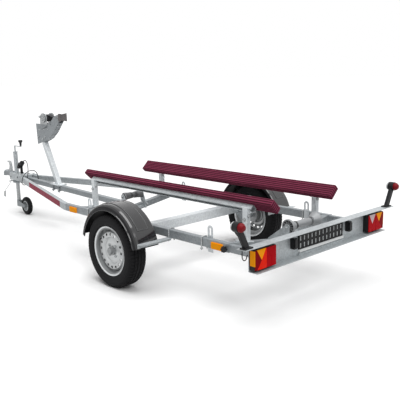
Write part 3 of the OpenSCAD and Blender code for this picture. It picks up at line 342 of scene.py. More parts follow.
speckled("silver_paint", tone(0.36, 0.38, 0.39), tone(0.48, 0.50, 0.51), 0.36, 1500.0, 0.03, **SILVER)
speckled("hub_paint", tone(0.22, 0.23, 0.235), tone(0.34, 0.35, 0.355), 0.45, 900.0, 0.08, 22.0, **SILVER)
speckled("tyre_rubber", tone(0.006, 0.006, 0.007), tone(0.015, 0.015, 0.016), 0.60, 900.0, 0.10, 9.0,
         Specular_IOR_Level=0.10)
speckled("black_rubber", *SOOT, 0.50, 1100.0, 0.08, 14.0, **DULL)
speckled("bow_rubber", tone(0.11, 0.102, 0.102), tone(0.19, 0.178, 0.178), 0.60, 800.0, 0.10, 20.0)
# a lighter grey than the fender, for its beads: painted highlight
speckled("fender_bead_painted_highlight", tone(0.07, 0.072, 0.075), tone(0.12, 0.122, 0.126), 0.30, 780.0, 0.06, 6.0)
speckled("black_plastic", tone(0.008, 0.008, 0.009), tone(0.018, 0.018, 0.020), 0.36, 900.0, 0.10, 18.0,
         **DULL)
print("paints and plastics", len(FINISHES))

# %% [markdown]
# ## Fenders and rims
# A moulded fender shines only on its outside and is dull with road dirt towards the wheel. The wheel's dish
# is painted darker than its flange, with a noise through it, as painted shade of its recess; the well
# behind it gets painted shade too, and the vents' walls are painted near black as their shade. All of that
# lies in rings about the wheel's axis, so the masks come from the distance to the axis and from the way the
# surface faces, and the solids need no cut.

# %% Finishes about the wheel's axis
NAVE_R = 60 * MM
NAVE_FADE = 60 * MM
VENTS = (108 * MM, 142 * MM)
WELL = (146 * MM, 172 * MM)
DISH_R = 148 * MM
# the most that the wall of a vent faces along the axle
WALL_LEAN = 0.25


def from_wheel(place):
    """How far a point lies ahead of the wheel's axis and above it."""
    hub = spot["left_wheel_spin"]
    return place.part("X") - hub.x, place.part("Z") - hub.z


def fender_plastic():
    shader, place = speckled(
        "fender_plastic", tone(0.006, 0.006, 0.007), tone(0.016, 0.016, 0.018), 0.32, 780.0, 0.04, 6.0,
        Coat_Roughness=0.10, Coat_IOR=1.7, Specular_IOR_Level=0.06)
    ahead, up = from_wheel(place)
    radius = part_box("left_fender")[1].z - spot["left_wheel_spin"].z
    outward = (place.normal("X") * ahead + place.normal("Z") * up) / radius
    feed(shader, Coat_Weight=outward.reckon("MAXIMUM", 0.0))


def dished_rim():
    shader, place = speckled("dished_rim", tone(0.60, 0.62, 0.63), tone(0.74, 0.76, 0.77), 0.34, 1500.0,
                             0.03, **SILVER)
    ahead, up = from_wheel(place)
    radius = (ahead * ahead + up * up).reckon("SQRT")
    # the dish darker than the flange, with noise through it: painted shade of its recess, fading in past
    # the nave
    dish_painted_shade = place.noise(30.0, 3.0).mix(tone(0.40, 0.415, 0.42), tone(0.54, 0.555, 0.56))
    nave = ((radius - NAVE_R) / NAVE_FADE).mix(tone(0.58, 0.595, 0.60), dish_painted_shade)
    wall = place.normal("Y").reckon("ABSOLUTE") < WALL_LEAN
    tint(shader, radius < DISH_R, nave)
    # the ring of the well behind the dish: painted shade
    paint(shader, (radius > WELL[0]) * (radius < WELL[1]), tone(0.27, 0.28, 0.285))
    # the walls of the vents near black: painted shade
    paint(shader, wall * (radius > VENTS[0]) * (radius < VENTS[1]), tone(0.02, 0.02, 0.02))


fender_plastic()
dished_rim()
print("fender and rim, dish of", round(DISH_R, 3))

# %% [markdown]
# ## Small solids of two colours
# A roller's bell mouths are painted near black, as painted shade of their hollows, with pale lips, and it
# has a black ring at each shoulder. The jockey's crank ends in a black knob, a marker lamp is red behind
# and white in front, and the plate holder stands on a pale strip. Each starts from a finish above, and a
# mask by place lays the second colour over it.

# %% Rollers, knob, marker lamps and plate holder
BELL_LENGTH = 62 * MM
LIP_WIDTH = 4 * MM
SHOULDER_RING = (6 * MM, 18 * MM)
# the least that the inside of a bell mouth faces outward
MOUTH_LEAN = 0.05
KNOB_HEIGHT = 68 * MM
KNOB_REACH = 60 * MM
MARKER_MIDDLE = 52 * MM
MARKER_LENS = 20.5 * MM
MARKER_HEAD = 70 * MM
PLATE_STRIP = 16.2 * MM
ROLLER_DUST = 1.2


def roller(name, node, body_colour):
    dusty = [c * ROLLER_DUST for c in body_colour]
    shader, place = speckled(name, body_colour, dusty, 0.36, 700.0, 0.06, 12.0, Coat_Weight=0.3,
                             Coat_Roughness=0.3)
    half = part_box(node)[1].y
    body = half - BELL_LENGTH
    near, far = SHOULDER_RING
    across = place.part("Y")
    out = across.reckon("ABSOLUTE")
    mouth = across.reckon("SIGN") * place.normal("Y") > MOUTH_LEAN
    # the mouth of each bell near black: painted shade of its hollow
    paint(shader, (out > body) * mouth, tone(0.018, 0.018, 0.019))
    paint(shader, (out > half - LIP_WIDTH) * mouth, tone(0.34, 0.35, 0.36))
    paint(shader, (out < body - near) * (out > body - far), tone(0.02, 0.02, 0.02))


def knobbed_crank():
    shader, place = zinc("knobbed_crank", *PALE_ZINC)
    low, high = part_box("jockey_crank")
    knob = place.inside((None, None, high.z - KNOB_HEIGHT), (low.x + KNOB_REACH, None, None))
    paint(shader, knob, tone(0.014, 0.014, 0.015))


def marker_rubber():
    shader, place = speckled("marker_rubber", *SOOT, 0.45, 1100.0, 0.06, 14.0, **DULL)
    low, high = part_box("marker_lamps")
    middle, foot = low.x + MARKER_MIDDLE, high.z - MARKER_HEAD
    behind = place.inside((None, None, foot), (middle - MARKER_LENS, None, None))
    before = place.inside((middle + MARKER_LENS, None, foot), (None, None, None))
    paint(shader, behind, tone(0.20, 0.003, 0.008))
    paint(shader, before, tone(0.62, 0.63, 0.64))


def plate_plastic():
    shader, place = speckled("plate_plastic", tone(0.009, 0.009, 0.010), tone(0.020, 0.020, 0.022), 0.40,
                             900.0, 0.10, 18.0, Specular_IOR_Level=0.12)
    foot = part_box("plate_holder")[0].z
    paint(shader, place.part("Z") < foot + PLATE_STRIP, tone(0.86, 0.87, 0.87))


roller("front_roller_rubber", "front_roller", tone(0.075, 0.078, 0.081))
roller("rear_roller_rubber", "rear_roller", tone(0.27, 0.28, 0.29))
knobbed_crank()
marker_rubber()
plate_plastic()
print("finishes so far", len(FINISHES))

# %% [markdown]
# ## Lenses
# A lamp's lens is clear coloured plastic over small prisms. Seen from a step away the prisms show as a fine
# grid of highlights. Two triangle waves make the grid, which is far lighter than a mesh of prisms. It sets
# the colour's depth and a slight bump. An amber lens is also a reflector: it sends a little light back to
# the eye, which a faint emission stands in for.


# %% Coloured lenses
def lens(name, colour, deep, pitch, glow=0.0):
    shader, place = finish(name, Roughness=0.20, Specular_IOR_Level=0.03, Emission_Strength=glow)
    across = (place.part("Y") + place.part("X")).reckon("PINGPONG", pitch)
    height = place.part("Z").reckon("PINGPONG", pitch)
    grid = (across + height) / (2 * pitch)
    depth = grid.mix(deep, colour)
    feed(shader, Base_Color=depth, Normal=grid.bump(0.2, 1.0 * MM))
    if glow:
        feed(shader, Emission_Color=depth)


lens("lens_red", tone(0.56, 0.003, 0.010), tone(0.36, 0.001, 0.005), 3.0 * MM)
lens("lens_dark_red", tone(0.32, 0.003, 0.008), tone(0.18, 0.001, 0.004), 4.0 * MM)
lens("lens_reflex", tone(0.96, 0.035, 0.010), tone(0.80, 0.008, 0.005), 2.0 * MM)
lens("lens_amber", tone(0.98, 0.38, 0.008), tone(0.86, 0.28, 0.004), 3.0 * MM, glow=0.12)
lens("lens_clear", tone(0.80, 0.66, 0.68), tone(0.56, 0.40, 0.43), 3.0 * MM)
print("lenses", [n for n in FINISHES if n.startswith("lens")])

# %% [markdown]
# ## Carpet, webbing and wire
# The bunks wear a ribbed marine carpet: looped pile in rows, wine red. The ribs are geometry, made further
# on, and each point of that mesh carries its rib's height as an attribute, which darkens the grooves here
# down to near black as painted shade between the ribs. Webbing is a twill of flat yarns. The safety wire
# is laid from strands that run round it at a slant. One triangle wave, slanted across the piece, is enough
# for both.

# %% Woven finishes
TWILL_PITCH = 1.6 * MM
STRAND_PITCH = 3.0 * MM


def carpet():
    shader, place = finish("carpet", Roughness=0.95, Specular_IOR_Level=0.12, Sheen_Weight=0.04,
                           Sheen_Roughness=0.5, Sheen_Tint=tone(0.6, 0.2, 0.3))
    rib = place.node("Attribute", {"attribute_name": "rib"}, out="Fac")
    pile = place.stretched(1, 1.6, 1.6).noise(650.0, 3.0, 0.7)
    yarn = place.stretched(0.35, 1, 1).noise(190.0, 2.0)
    patch = place.noise(4.0, 3.0)
    # the rib's height squared takes the grooves to near black: painted shade between the ribs
    painted_groove_shade_and_pile = rib * rib * (pile * 0.55 + yarn * 0.5 + patch * 0.4)
    feed(
        shader,
        Base_Color=painted_groove_shade_and_pile.mix(tone(0.014, 0.002, 0.006), tone(0.32, 0.054, 0.108)),
        Normal=(pile + yarn * 0.6).bump(0.6, 2.0 * MM),
    )


def webbing():
    shader, place = finish("webbing", Roughness=0.8)
    slant = place.part("X") + place.part("Y") * 0.8
    twill = slant.reckon("PINGPONG", TWILL_PITCH) / TWILL_PITCH
    feed(
        shader,
        Base_Color=twill.mix(tone(0.012, 0.012, 0.014), tone(0.045, 0.045, 0.05)),
        Normal=twill.bump(0.5, 0.8 * MM),
    )


def wire_rope():
    shader, place = finish("wire_rope", Metallic=0.9)
    slant = place.part("X") + place.part("Z") + place.part("Y") * 1.5
    strand = slant.reckon("PINGPONG", STRAND_PITCH) / STRAND_PITCH
    feed(
        shader,
        Base_Color=strand.mix(tone(0.18, 0.185, 0.19), tone(0.55, 0.56, 0.57)),
        Roughness=strand.between(0.5, 0.3),
        Normal=strand.bump(0.7, 1.0 * MM),
    )


carpet()
webbing()
wire_rope()
print(len(FINISHES), "finishes in all")

# %% [markdown]
# ## Dressing the delivered solids
# Most of the trailer is right as it stands and only needs its finish. One table gives each finish its
# nodes, so that a change of mind is a change of one word.

# %% Finishes of the solids
DRESS = {
    "zinc": ["drawbar_head", "fender_brackets", "bunk_channels", "light_beam", "front_roller_bracket",
             "rear_roller_bracket", "jockey_tube"],
    # the paler zinc paints highlight on these parts
    "zinc_painted_highlight": ["axle_beam", "bunk_uprights", "winch_post", "tie_down_eyes"],
    "zinc_rail": ["left_rail", "right_rail", "winch_bracket"],
    "zinc_dull": ["spine", "front_cross_member", "rear_cross_member", "coupling_head", "left_axle_arm",
                  "right_axle_arm", "jockey_clamp", "jockey_fork", "beam_arms"],
    "zinc_bright": ["coupling_handle", "winch_frame", "winch_drum", "winch_crank", "jockey_inner_tube",
                    "safety_hook"],
    "zinc_band": ["left_drawbar_leg", "right_drawbar_leg"],
    "dished_rim": ["left_rim", "right_rim"],
    "silver_paint": ["jockey_rim"],
    "hub_paint": ["left_hub", "right_hub"],
    "tyre_rubber": ["jockey_tyre"],
    "fender_plastic": ["left_fender", "right_fender"],
    "front_roller_rubber": ["front_roller"],
    "rear_roller_rubber": ["rear_roller"],
    "bow_rubber": ["bow_stop"],
    "knobbed_crank": ["jockey_crank"],
    "marker_rubber": ["marker_lamps"],
    "plate_plastic": ["plate_holder"],
    "black_plastic": ["plate_lamps", "beam_knobs", "plug_holder", "trailer_plug"],
    "lens_amber": ["side_reflectors"],
    "webbing": ["winch_strap"],
}
for name, members in DRESS.items():
    for member in members:
        nodes[member].data.materials.clear()
        nodes[member].data.materials.append(FINISHES[name])
print(sum(len(v) for v in DRESS.values()), "solids dressed")

# %% [markdown]
# ## Cables
# Three cables hang on the trailer: the lead that ends in the parked plug, the safety wire with its spring
# hook and a loop behind the left lamp. Each follows the route that its solid has, from the point where it
# leaves the frame. A Catmull-Rom curve passes through every point, so a cable stays on its route and still
# bends smoothly, and its length can be measured along the way.

# %% Routes, in millimetres from the axle's middle on the ground
LEAD_ROUTE = [
    (2463, -10, 431), (2463, -10, 451), (2463, -8, 472), (2464, -2, 492), (2466, 8, 510), (2470, 23, 524),
    (2476, 43, 531), (2484, 64, 530), (2493, 86, 522), (2502, 105, 509), (2511, 121, 491), (2519, 133, 471),
    (2526, 140, 451), (2532, 143, 432), (2538, 143, 413), (2544, 140, 396), (2550, 130, 382),
    (2556, 116, 372), (2563, 100, 369), (2570, 84, 372), (2576, 70, 382), (2582, 60, 396), (2588, 57, 412),
    (2592, 52, 429), (2597, 45, 446), (2601, 38, 464), (2606, 31, 486), (2612, 24, 511), (2620, 18, 535),
    (2630, 13, 557), (2642, 9, 577), (2656, 6, 593), (2672, 4, 605), (2689, 2, 612), (2706, 1, 614),
    (2722, 0, 612), (2737, 0, 606), (2750, 0, 598),
]
SAFETY_ROUTE = [
    (2984, 44, 382), (2984, 44, 372), (2990, 46, 356), (3004, 48, 338), (3022, 50, 320), (3042, 52, 304),
    (3064, 54, 286), (3088, 55, 268), (3112, 56, 250), (3132, 57, 232),
]
LAMP_ROUTE = [
    (-1286, 792, 521), (-1286, 792, 508), (-1286, 793, 495), (-1285, 791, 482), (-1283, 786, 470),
    (-1280, 777, 460), (-1276, 765, 453), (-1270, 750, 450), (-1262, 735, 449), (-1252, 720, 450),
    (-1241, 706, 451), (-1230, 694, 452), (-1221, 680, 453), (-1217, 665, 454), (-1220, 651, 454),
    (-1229, 642, 454), (-1239, 639, 454), (-1249, 639, 454),
]


def from_axle(ahead, left, up):
    """A place given in millimetres from the axle's middle on the ground."""
    return Vector((axle_x + ahead * MM, left * MM, up * MM))


def smooth_line(points, steps=4):
    """Points on a Catmull-Rom curve through the given ones."""
    ends = [points[0] * 2 - points[1], *points, points[-1] * 2 - points[-2]]
    line = []
    for a, b, c, d in zip(ends, ends[1:], ends[2:], ends[3:]):
        for i in range(steps):
            t = i / steps
            line.append(0.5 * (2 * b + (c - a) * t + (2 * a - 5 * b + 4 * c - d) * t**2
                               + (3 * b - a - 3 * c + d) * t**3))
    return [*line, points[-1]]


def cable(name, node, route, diameter, material, body):
    """One cable as a curve along its route."""
    line = smooth_line([from_axle(*point) for point in route])
    curve = bpy.data.curves.new(name, "CURVE")
    curve.dimensions = "3D"
    curve.bevel_depth = diameter / 2
    curve.bevel_resolution = 3
    curve.use_fill_caps = True
    spline = curve.splines.new("POLY")
    spline.points.add(len(line) - 1)
    for point, place in zip(spline.points, line):
        point.co = (*place, 1)
    curve.materials.append(FINISHES[material])
    made = bpy.data.objects.new(name, curve)
    scene.collection.objects.link(made)
    length = sum((b - a).length for a, b in zip(line, line[1:]))
    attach(made, body)
    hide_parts(node)
    print(name, round(length, 3), "m")


cable("lead", "trailer_cable", LEAD_ROUTE, 8 * MM, "black_rubber", "frame")
cable("safety_wire", "safety_cable", SAFETY_ROUTE, 6 * MM, "wire_rope", "frame")
cable("lamp_lead", "lamp_cable", LAMP_ROUTE, 6 * MM, "black_rubber", "light_board")

# %% [markdown]
# ## Meshes from lists
# Small parts such as bolts come in dozens. Each kind is a function that gives corners and faces; a
# collector puts many of them into one mesh, which is lighter to handle than a hundred objects. A matrix
# that mirrors a shape also turns its faces inside out, so the collector reads them the other way round.

# %% A collector of shapes
BEND_ANGLE = math.radians(40)


class Stock:
    """Collects shapes into one mesh."""

    def __init__(self):
        self.corners = []
        self.faces = []

    def add(self, shape, place=None):
        """Puts in a shape of corners and faces, moved by a matrix."""
        corners, faces = shape
        start = len(self.corners)
        place = place or Matrix()
        step = -1 if place.determinant() < 0 else 1
        self.corners += [place @ Vector(c) for c in corners]
        self.faces += [[start + i for i in face[::step]] for face in faces]
        return self

    def piece(self, name, body, material, slot, round_edges=0.0, ribs=None):
        """The finished object, riding on a body; ribs gives each point's rib height."""
        mesh = bpy.data.meshes.new(name)
        mesh.from_pydata(self.corners, [], self.faces)
        mesh.update()
        mesh.materials.append(FINISHES[material])
        made = bpy.data.objects.new(name, mesh)
        scene.collection.objects.link(made)
        if round_edges:
            bevel = made.modifiers.new("round edges", "BEVEL")
            bevel.width = round_edges
            bevel.segments = 2
            bevel.limit_method = "ANGLE"
        if ribs:
            mesh.attributes.new("rib", "FLOAT", "POINT").data.foreach_set("value", ribs)
        mesh.polygons.foreach_set("use_smooth", [True] * len(mesh.polygons))
        mesh.set_sharp_from_angle(angle=BEND_ANGLE)
        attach(made, body)
        return made


print("collector ready")

# %% [markdown]
# ## Tyres
# A road tyre is read by its tread: straight grooves round it, cuts across the shoulders, and a wall that
# bulges over the rim with a few raised rings. A revolve gives all but the cuts. For those each pitch of the
# tread gets four rings of points, two at full height and two sunk, so the cut has steep walls without a
# boolean.

# %% Tyre section, in millimetres
TYRE_R = (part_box("left_tyre")[1].z - spot["left_wheel_spin"].z) / MM
TYRE_HALF = (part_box("left_tyre")[1].y - spot["left_wheel_spin"].y) / MM
RIM_R = (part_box("left_rim")[1].x - axle_x) / MM
GROOVE_DEPTH = 6
GROOVE_TAPER = 0.8
CROWN_FALL = 2.5
# middle, width, and how far a cut sinks the outer edge
GROOVES = [(41.0, 6.0, 1), (13.5, 7.0, 0.6)]


def tyre_half():
    """(radius, along, how far a cut sinks it) from the bead to the middle of the tread."""
    r, w = TYRE_R, TYRE_HALF
    wall = [
        (RIM_R - 16.4, 40, 0), (RIM_R - 16.4, 54.6, 0), (RIM_R - 4.2, 56.8, 0), (RIM_R + 0.7, 61, 0),
        (RIM_R + 5, 66.5, 0), (RIM_R + 9, 71, 0), (RIM_R + 11, 74, 0), (RIM_R + 14, 74.5, 0),
        (RIM_R + 16, 74, 0), (RIM_R + 24, 76.5, 0), (r - 50, w, 0), (r - 42, w - 0.4, 0),
        (r - 41, w - 1.4, 0), (r - 37, w - 1.6, 0), (r - 36, w - 1.2, 0), (r - 28, w - 3, 0),
        (r - 20, w - 6, 0.25), (r - 13, w - 11, 0.7), (r - 7.5, w - 17, 1), (r - 4, w - 22, 1),
        (r - 2, w - 28, 1), (r - 1.2, w - 33, 1),
    ]
    tread = []
    for middle, width, sunk in GROOVES:
        out, into = middle + width / 2, middle - width / 2
        crown = r - (out / w) ** 2 * CROWN_FALL
        floor = crown - GROOVE_DEPTH
        tread += [(crown, out, sunk), (floor, out - GROOVE_TAPER, 0), (floor, into + GROOVE_TAPER, 0),
                  (crown + 0.3, into, 0.6)]
    return wall + tread + [(r, 4, 0)]


print("tyre section of", 2 * len(tyre_half()), "points")

# %% Tyre mesh
PITCHES = 64
CUT_DEPTH = 5
CUT_SLANT = 0.35
# share of a pitch, and whether the ring is sunk
CUT_RINGS = [(0.0, 0), (0.70, 0), (0.76, 1), (0.94, 1)]


def tyre(name, side):
    half = tyre_half()
    section = half + [(r, -y, cut) for r, y, cut in reversed(half)]
    corners = []
    for pitch in range(PITCHES):
        for share, sunk in CUT_RINGS:
            for r, y, cut in section:
                slant = CUT_SLANT * abs(y) / TYRE_HALF
                angle = 2 * math.pi * (pitch + share + slant) / PITCHES
                reach = (r - sunk * cut * CUT_DEPTH) * MM
                corners.append((reach * math.cos(angle), y * MM, reach * math.sin(angle)))
    n = len(section)
    rings = PITCHES * len(CUT_RINGS)
    faces = []
    for k in range(rings):
        m = (k + 1) % rings
        faces += [[k * n + i, m * n + i, m * n + i + 1, k * n + i + 1] for i in range(n - 1)]
        faces.append([m * n, k * n, k * n + n - 1, m * n + n - 1])
    stock = Stock().add((corners, faces), Matrix.Translation(spot[f"{side}_wheel_spin"]))
    made = stock.piece(name, f"{side}_wheel", "tyre_rubber", "tyre")
    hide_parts(f"{side}_tyre")
    return made


for side in ("left", "right"):
    made = tyre(f"{side}_road_tyre", side)
    print(made.name, len(made.data.polygons), "faces")

# %% [markdown]
# ## Bunks
# Each bunk is a timber beam wrapped in ribbed carpet. The section is a rounded rectangle, and the ribs are
# a ripple on it: for each point of the outline the rib's height is worked out from the distance walked
# along the outline. A bump map would show the same ribs, but not at the bunk's edge, where the eye looks
# first.

# %% Ribbed section
BUNK_W = 104 * MM
BUNK_T = 50 * MM
BUNK_CORNER = 9 * MM
RIB_PITCH = 16.5 * MM
RIB_HEIGHT = 3.5 * MM
RIB_FULLNESS = 0.7
OUTLINE_STEP = 1.1 * MM
CORNER_PARTS = 6


def rib_at(walked, pitch):
    """How high the carpet stands at a distance across its ribs, from 0 to 1."""
    return abs(math.sin(math.pi * walked / pitch)) ** RIB_FULLNESS


def rounded_outline(width, height, corner, step):
    """Points and outward normals round a rectangle with round corners."""
    found = []
    for cx, cy, start in ((1, 1, 0), (-1, 1, 90), (-1, -1, 180), (1, -1, 270)):
        centre = Vector((cx * (width / 2 - corner), cy * (height / 2 - corner)))
        for i in range(CORNER_PARTS + 1):
            angle = math.radians(start + 90 * i / CORNER_PARTS)
            normal = Vector((math.cos(angle), math.sin(angle)))
            found.append((centre + normal * corner, normal))
    dense = []
    for (p, n), (q, m) in zip(found, found[1:] + found[:1]):
        parts = max(1, round((q - p).length / step))
        dense += [(p.lerp(q, k / parts), n.lerp(m, k / parts).normalized()) for k in range(parts)]
    return dense


def ribbed_section():
    """The bunk's outline with its ribs: points, normals and rib heights."""
    outline = rounded_outline(BUNK_W - RIB_HEIGHT, BUNK_T - RIB_HEIGHT, BUNK_CORNER, OUTLINE_STEP)
    walked = [0.0]
    for (p, _), (q, _) in zip(outline, outline[1:]):
        walked.append(walked[-1] + (q - p).length)
    whole = walked[-1] + (outline[0][0] - outline[-1][0]).length
    pitch = whole / round(whole / RIB_PITCH)
    ribs = [rib_at(s, pitch) for s in walked]
    return [(p + n * RIB_HEIGHT * (rib - 0.5), n, rib) for (p, n), rib in zip(outline, ribs)]


print("carpet section of", len(ribbed_section()), "points")

# %% [markdown]
# ## Carpet round the bunk
# The section is swept along the bunk, and it shrinks over the last millimetres to fold the carpet over the
# end. A flap with ribs of its own closes each end. All of it is worked out along the bunk, across its top
# and out of its top; one matrix then tilts it to the keel, and the same matrix mirrors it for the right.

# %% Carpeted bunks
BUNK_TILT = math.radians(44)
BUNK_BAYS = 12
# how far from the end, and how far the carpet is drawn in there, in millimetres
FOLD = [(0.0, 7.0), (0.6, 3.4), (2.2, 1.2), (5.0, 0.25), (8.0, 0.0)]
FLAP_COLUMNS = 88
FLAP_INSET = 6 * MM
FLAP_SLOPE = 2 * MM
FLAP_BASE = 0.4 * MM
FLAP_RIB = 2 * MM
FLAP_SUNK = 0.5 * MM


def sleeve(rear, front):
    """The carpet round a bunk, closed at both ends: corners, faces and rib heights."""
    section = ribbed_section()
    stations = [(rear + a * MM, b * MM) for a, b in FOLD]
    stations += [(rear + (front - rear) * k / BUNK_BAYS, 0.0) for k in range(1, BUNK_BAYS)]
    stations += [(front - a * MM, b * MM) for a, b in reversed(FOLD)]
    corners = []
    for x, inset in stations:
        corners += [(x, *(p - normal * inset)) for p, normal, _ in section]
    n = len(section)
    faces = [list(range(n))[::-1], list(range(len(corners) - n, len(corners)))]
    for k in range(0, len(corners) - n, n):
        for i in range(n):
            j = (i + 1) % n
            faces.append([k + i, k + j, k + n + j, k + n + i])
    return corners, faces, [rib for _, _, rib in section] * len(stations)


def end_flap(end, outward):
    """The ribbed flap on one end of a bunk: corners, faces and rib heights."""
    half_w, half_t = BUNK_W / 2 - FLAP_INSET, BUNK_T / 2 - FLAP_INSET
    across = FLAP_COLUMNS + 1
    levels = [(-half_t, False), (FLAP_SLOPE - half_t, True), (half_t - FLAP_SLOPE, True), (half_t, False)]
    corners, ribs = [], []
    for v, raised in levels:
        for k in range(across):
            u = half_w * (2 * k / FLAP_COLUMNS - 1)
            rib = rib_at(u + half_w, RIB_PITCH)
            height = FLAP_BASE + FLAP_RIB * rib if raised else -FLAP_SUNK
            corners.append((end + outward * height, u, v))
            ribs.append(rib)
    rows = [range(row * across, (row + 1) * across) for row in range(len(levels))]
    faces = [[row[0] for row in rows], [row[-1] for row in reversed(rows)]]
    for a, b in zip(rows, rows[1:] + rows[:1]):
        faces += [[a[k], a[k + 1], b[k + 1], b[k]] for k in range(FLAP_COLUMNS)]
    return corners, [face[::outward] for face in faces], ribs


def bunk(name, side, sign):
    low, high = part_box(f"{side}_bunk")
    middle = (low + high) / 2
    cos, sin = math.cos(BUNK_TILT), math.sin(BUNK_TILT)
    tilt = Matrix(((1, 0, 0, 0), (0, sign * cos, -sign * sin, 0), (0, sin, cos, 0), (0, 0, 0, 1)))
    stand = Matrix.Translation((0, middle.y, middle.z)) @ tilt
    stock = Stock()
    ribs = []
    for corners, faces, heights in (sleeve(low.x, high.x), end_flap(low.x, -1), end_flap(high.x, 1)):
        stock.add((corners, faces), stand)
        ribs += heights
    made = stock.piece(name, "frame", "carpet", "carpet", ribs=ribs)
    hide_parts(f"{side}_bunk")
    return made


for side, sign in (("left", 1), ("right", -1)):
    made = bunk(f"{side}_carpet_bunk", side, sign)
    print(made.name, len(made.data.polygons), "faces")

# %% [markdown]
# ## Tail lamps
# Each lamp is a black tray with a lens of several colours: a reflex field in the middle, an amber wedge for
# the turn signal and plain red elsewhere; on the right-hand lamp the inner wedge is clear, for reversing. A
# reflex field glows only for an eye that is near the light, so the photo shows the left one bright and the
# right one plain red. The fields fit edge to edge, each a thin prism with its edges rounded, so the seams
# between colours catch a line of light, which a mask on one lens would not give.

# %% Lamp trays and fields
LAMP_FIELDS = [
    # finish, corners as shares of the lens: (from the outer edge to the inner, from the bottom to the top)
    ("lens_dark_red", [(0.0, 0.0), (0.09, 0.0), (0.30, 0.46), (0.08, 1.0), (0.0, 1.0)]),
    ("lens_amber", [(0.08, 1.0), (0.30, 0.46), (0.51, 1.0)]),
    ("lens_reflex", [(0.09, 0.0), (0.53, 0.0), (0.53, 1.0), (0.51, 1.0), (0.30, 0.46)]),
    ("lens_red", [(0.53, 0.0), (0.76, 0.0), (0.76, 0.46), (0.55, 1.0), (0.53, 1.0)]),
    ("lens_red", [(0.76, 0.0), (1.0, 0.0), (1.0, 1.0), (0.97, 1.0), (0.76, 0.46)]),
]
INNER_WEDGE = [(0.55, 1.0), (0.76, 0.46), (0.97, 1.0)]
LENS_DEPTH = 8 * MM
LENS_STEP = 2 * MM
TRAY_RIM = 3 * MM
# stands a flat outline of (y, z) up, with its thickness to the rear
REARWARD = Matrix(((0, 0, -1, 0), (1, 0, 0, 0), (0, 1, 0, 0), (0, 0, 0, 1)))


def prism(outline, low, high):
    """An outline of (x, y) between two heights."""
    n = len(outline)
    corners = [(x, y, z) for z in (low, high) for x, y in outline]
    faces = [list(range(n))[::-1], list(range(n, 2 * n))]
    faces += [[i, (i + 1) % n, n + (i + 1) % n, n + i] for i in range(n)]
    return corners, faces


def rectangle(left, right, foot, top):
    return [(left, foot), (right, foot), (right, top), (left, top)]


def lamp(side, sign, wedge, reflex):
    low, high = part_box(f"{side}_tail_lamp")
    depth = high.x - low.x
    tray_depth = depth - LENS_DEPTH
    stand = Matrix.Translation((high.x, 0, 0)) @ REARWARD
    tray = Stock().add(prism(rectangle(low.y, high.y, low.z, high.z), 0, tray_depth), stand)
    tray = tray.piece(f"{side}_lamp_tray", "light_board", "black_plastic", "plastic_black", 2 * MM)
    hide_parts(f"{side}_tail_lamp")
    outer, inner = (high.y, low.y) if sign > 0 else (low.y, high.y)
    start, width = outer - sign * TRAY_RIM, inner - outer + sign * 2 * TRAY_RIM
    bottom, height = low.z + TRAY_RIM, high.z - low.z - 2 * TRAY_RIM
    fields = [*LAMP_FIELDS, (wedge, INNER_WEDGE)]
    for number, (colour, shares) in enumerate(fields):
        outline = [(start + u * width, bottom + v * height) for u, v in shares][::-sign]
        proud = depth if colour == "lens_reflex" else depth - LENS_STEP
        field = Stock().add(prism(outline, tray_depth - LENS_STEP, proud), stand)
        look = reflex if colour == "lens_reflex" else colour
        field.piece(f"{side}_lens_{number}", "light_board", look, "lamp_red", 1.2 * MM)
    print(side, "lamp of", len(fields), "fields")


print(len(LAMP_FIELDS), "fields and a wedge to a lamp")

# %% [markdown]
# ## Lenses on the lamps' sides
# A second amber lens lies on each lamp's outer side, so that the turn signal also shows from beside the
# trailer. It is one more prism, turned to lie on the tray's side and sunk in it by a few millimetres.

# %% Side lenses, and both lamps
FLANK_BEHIND = 3 * MM
FLANK_BEFORE = 8 * MM
FLANK_SHARES = (0.20, 0.97)
FLANK_SUNK = 3 * MM
FLANK_PROUD = 1.5 * MM
# stands a flat outline of (x, z) up, with its thickness to the left
LEFTWARD = Matrix(((1, 0, 0, 0), (0, 0, 1, 0), (0, 1, 0, 0), (0, 0, 0, 1)))


def flank_lens(side, sign):
    low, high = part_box(f"{side}_tail_lamp")
    outer = high.y if sign > 0 else low.y
    bottom, height = low.z + TRAY_RIM, high.z - low.z - 2 * TRAY_RIM
    foot, top = (bottom + share * height for share in FLANK_SHARES)
    outline = rectangle(low.x + FLANK_BEHIND, high.x - FLANK_BEFORE, foot, top)
    sides = sorted((outer - sign * FLANK_SUNK, outer + sign * FLANK_PROUD))
    flank = Stock().add(prism(outline, *sides), LEFTWARD)
    made = flank.piece(f"{side}_flank_lens", "light_board", "lens_amber", "lens_amber", 1.0 * MM)
    print(made.name, [round(v, 3) for v in made.dimensions])


lamp("left", 1, "lens_red", "lens_reflex")
flank_lens("left", 1)
lamp("right", -1, "lens_clear", "lens_red")
flank_lens("right", -1)

# %% [markdown]
# ## Behind the plate's slots
# The plate holder is a slotted panel in front of bright metal. A thin sheet of bright zinc set in the
# panel, near its face, shows only in the slots and makes them read as openings: painted light in the slots,
# where the metal behind lies in their shade.

# %% Sheet behind the slots
SHEET_SIDE = 8 * MM
SHEET_FOOT = 20 * MM
SHEET_TOP = 4 * MM
SHEET_BACK = 11.5 * MM
SHEET_T = 1 * MM

low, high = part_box("plate_holder")
outline = rectangle(low.y + SHEET_SIDE, high.y - SHEET_SIDE, low.z + SHEET_FOOT, high.z - SHEET_TOP)
stand = Matrix.Translation((low.x + SHEET_BACK, 0, 0)) @ REARWARD
# a bright sheet near the panel's face: painted light in the slots' shade
sheet = Stock().add(prism(outline, -SHEET_T, 0), stand)
made = sheet.piece("slot_painted_light_sheet", "light_board", "zinc_bright", "galvanised")
print(made.name, [round(v, 3) for v in made.dimensions])

# %% [markdown]
# ## Bolts
# A trailer is bolted together so that it can be set to its boat. Bolts are a washer and a chamfered
# hexagon, both turned, with six segments for the hexagon. A table gives their size, the way they point and
# their places on the left half; the right half mirrors them. Their turn changes along the trailer, as
# bolts stop where they bite.

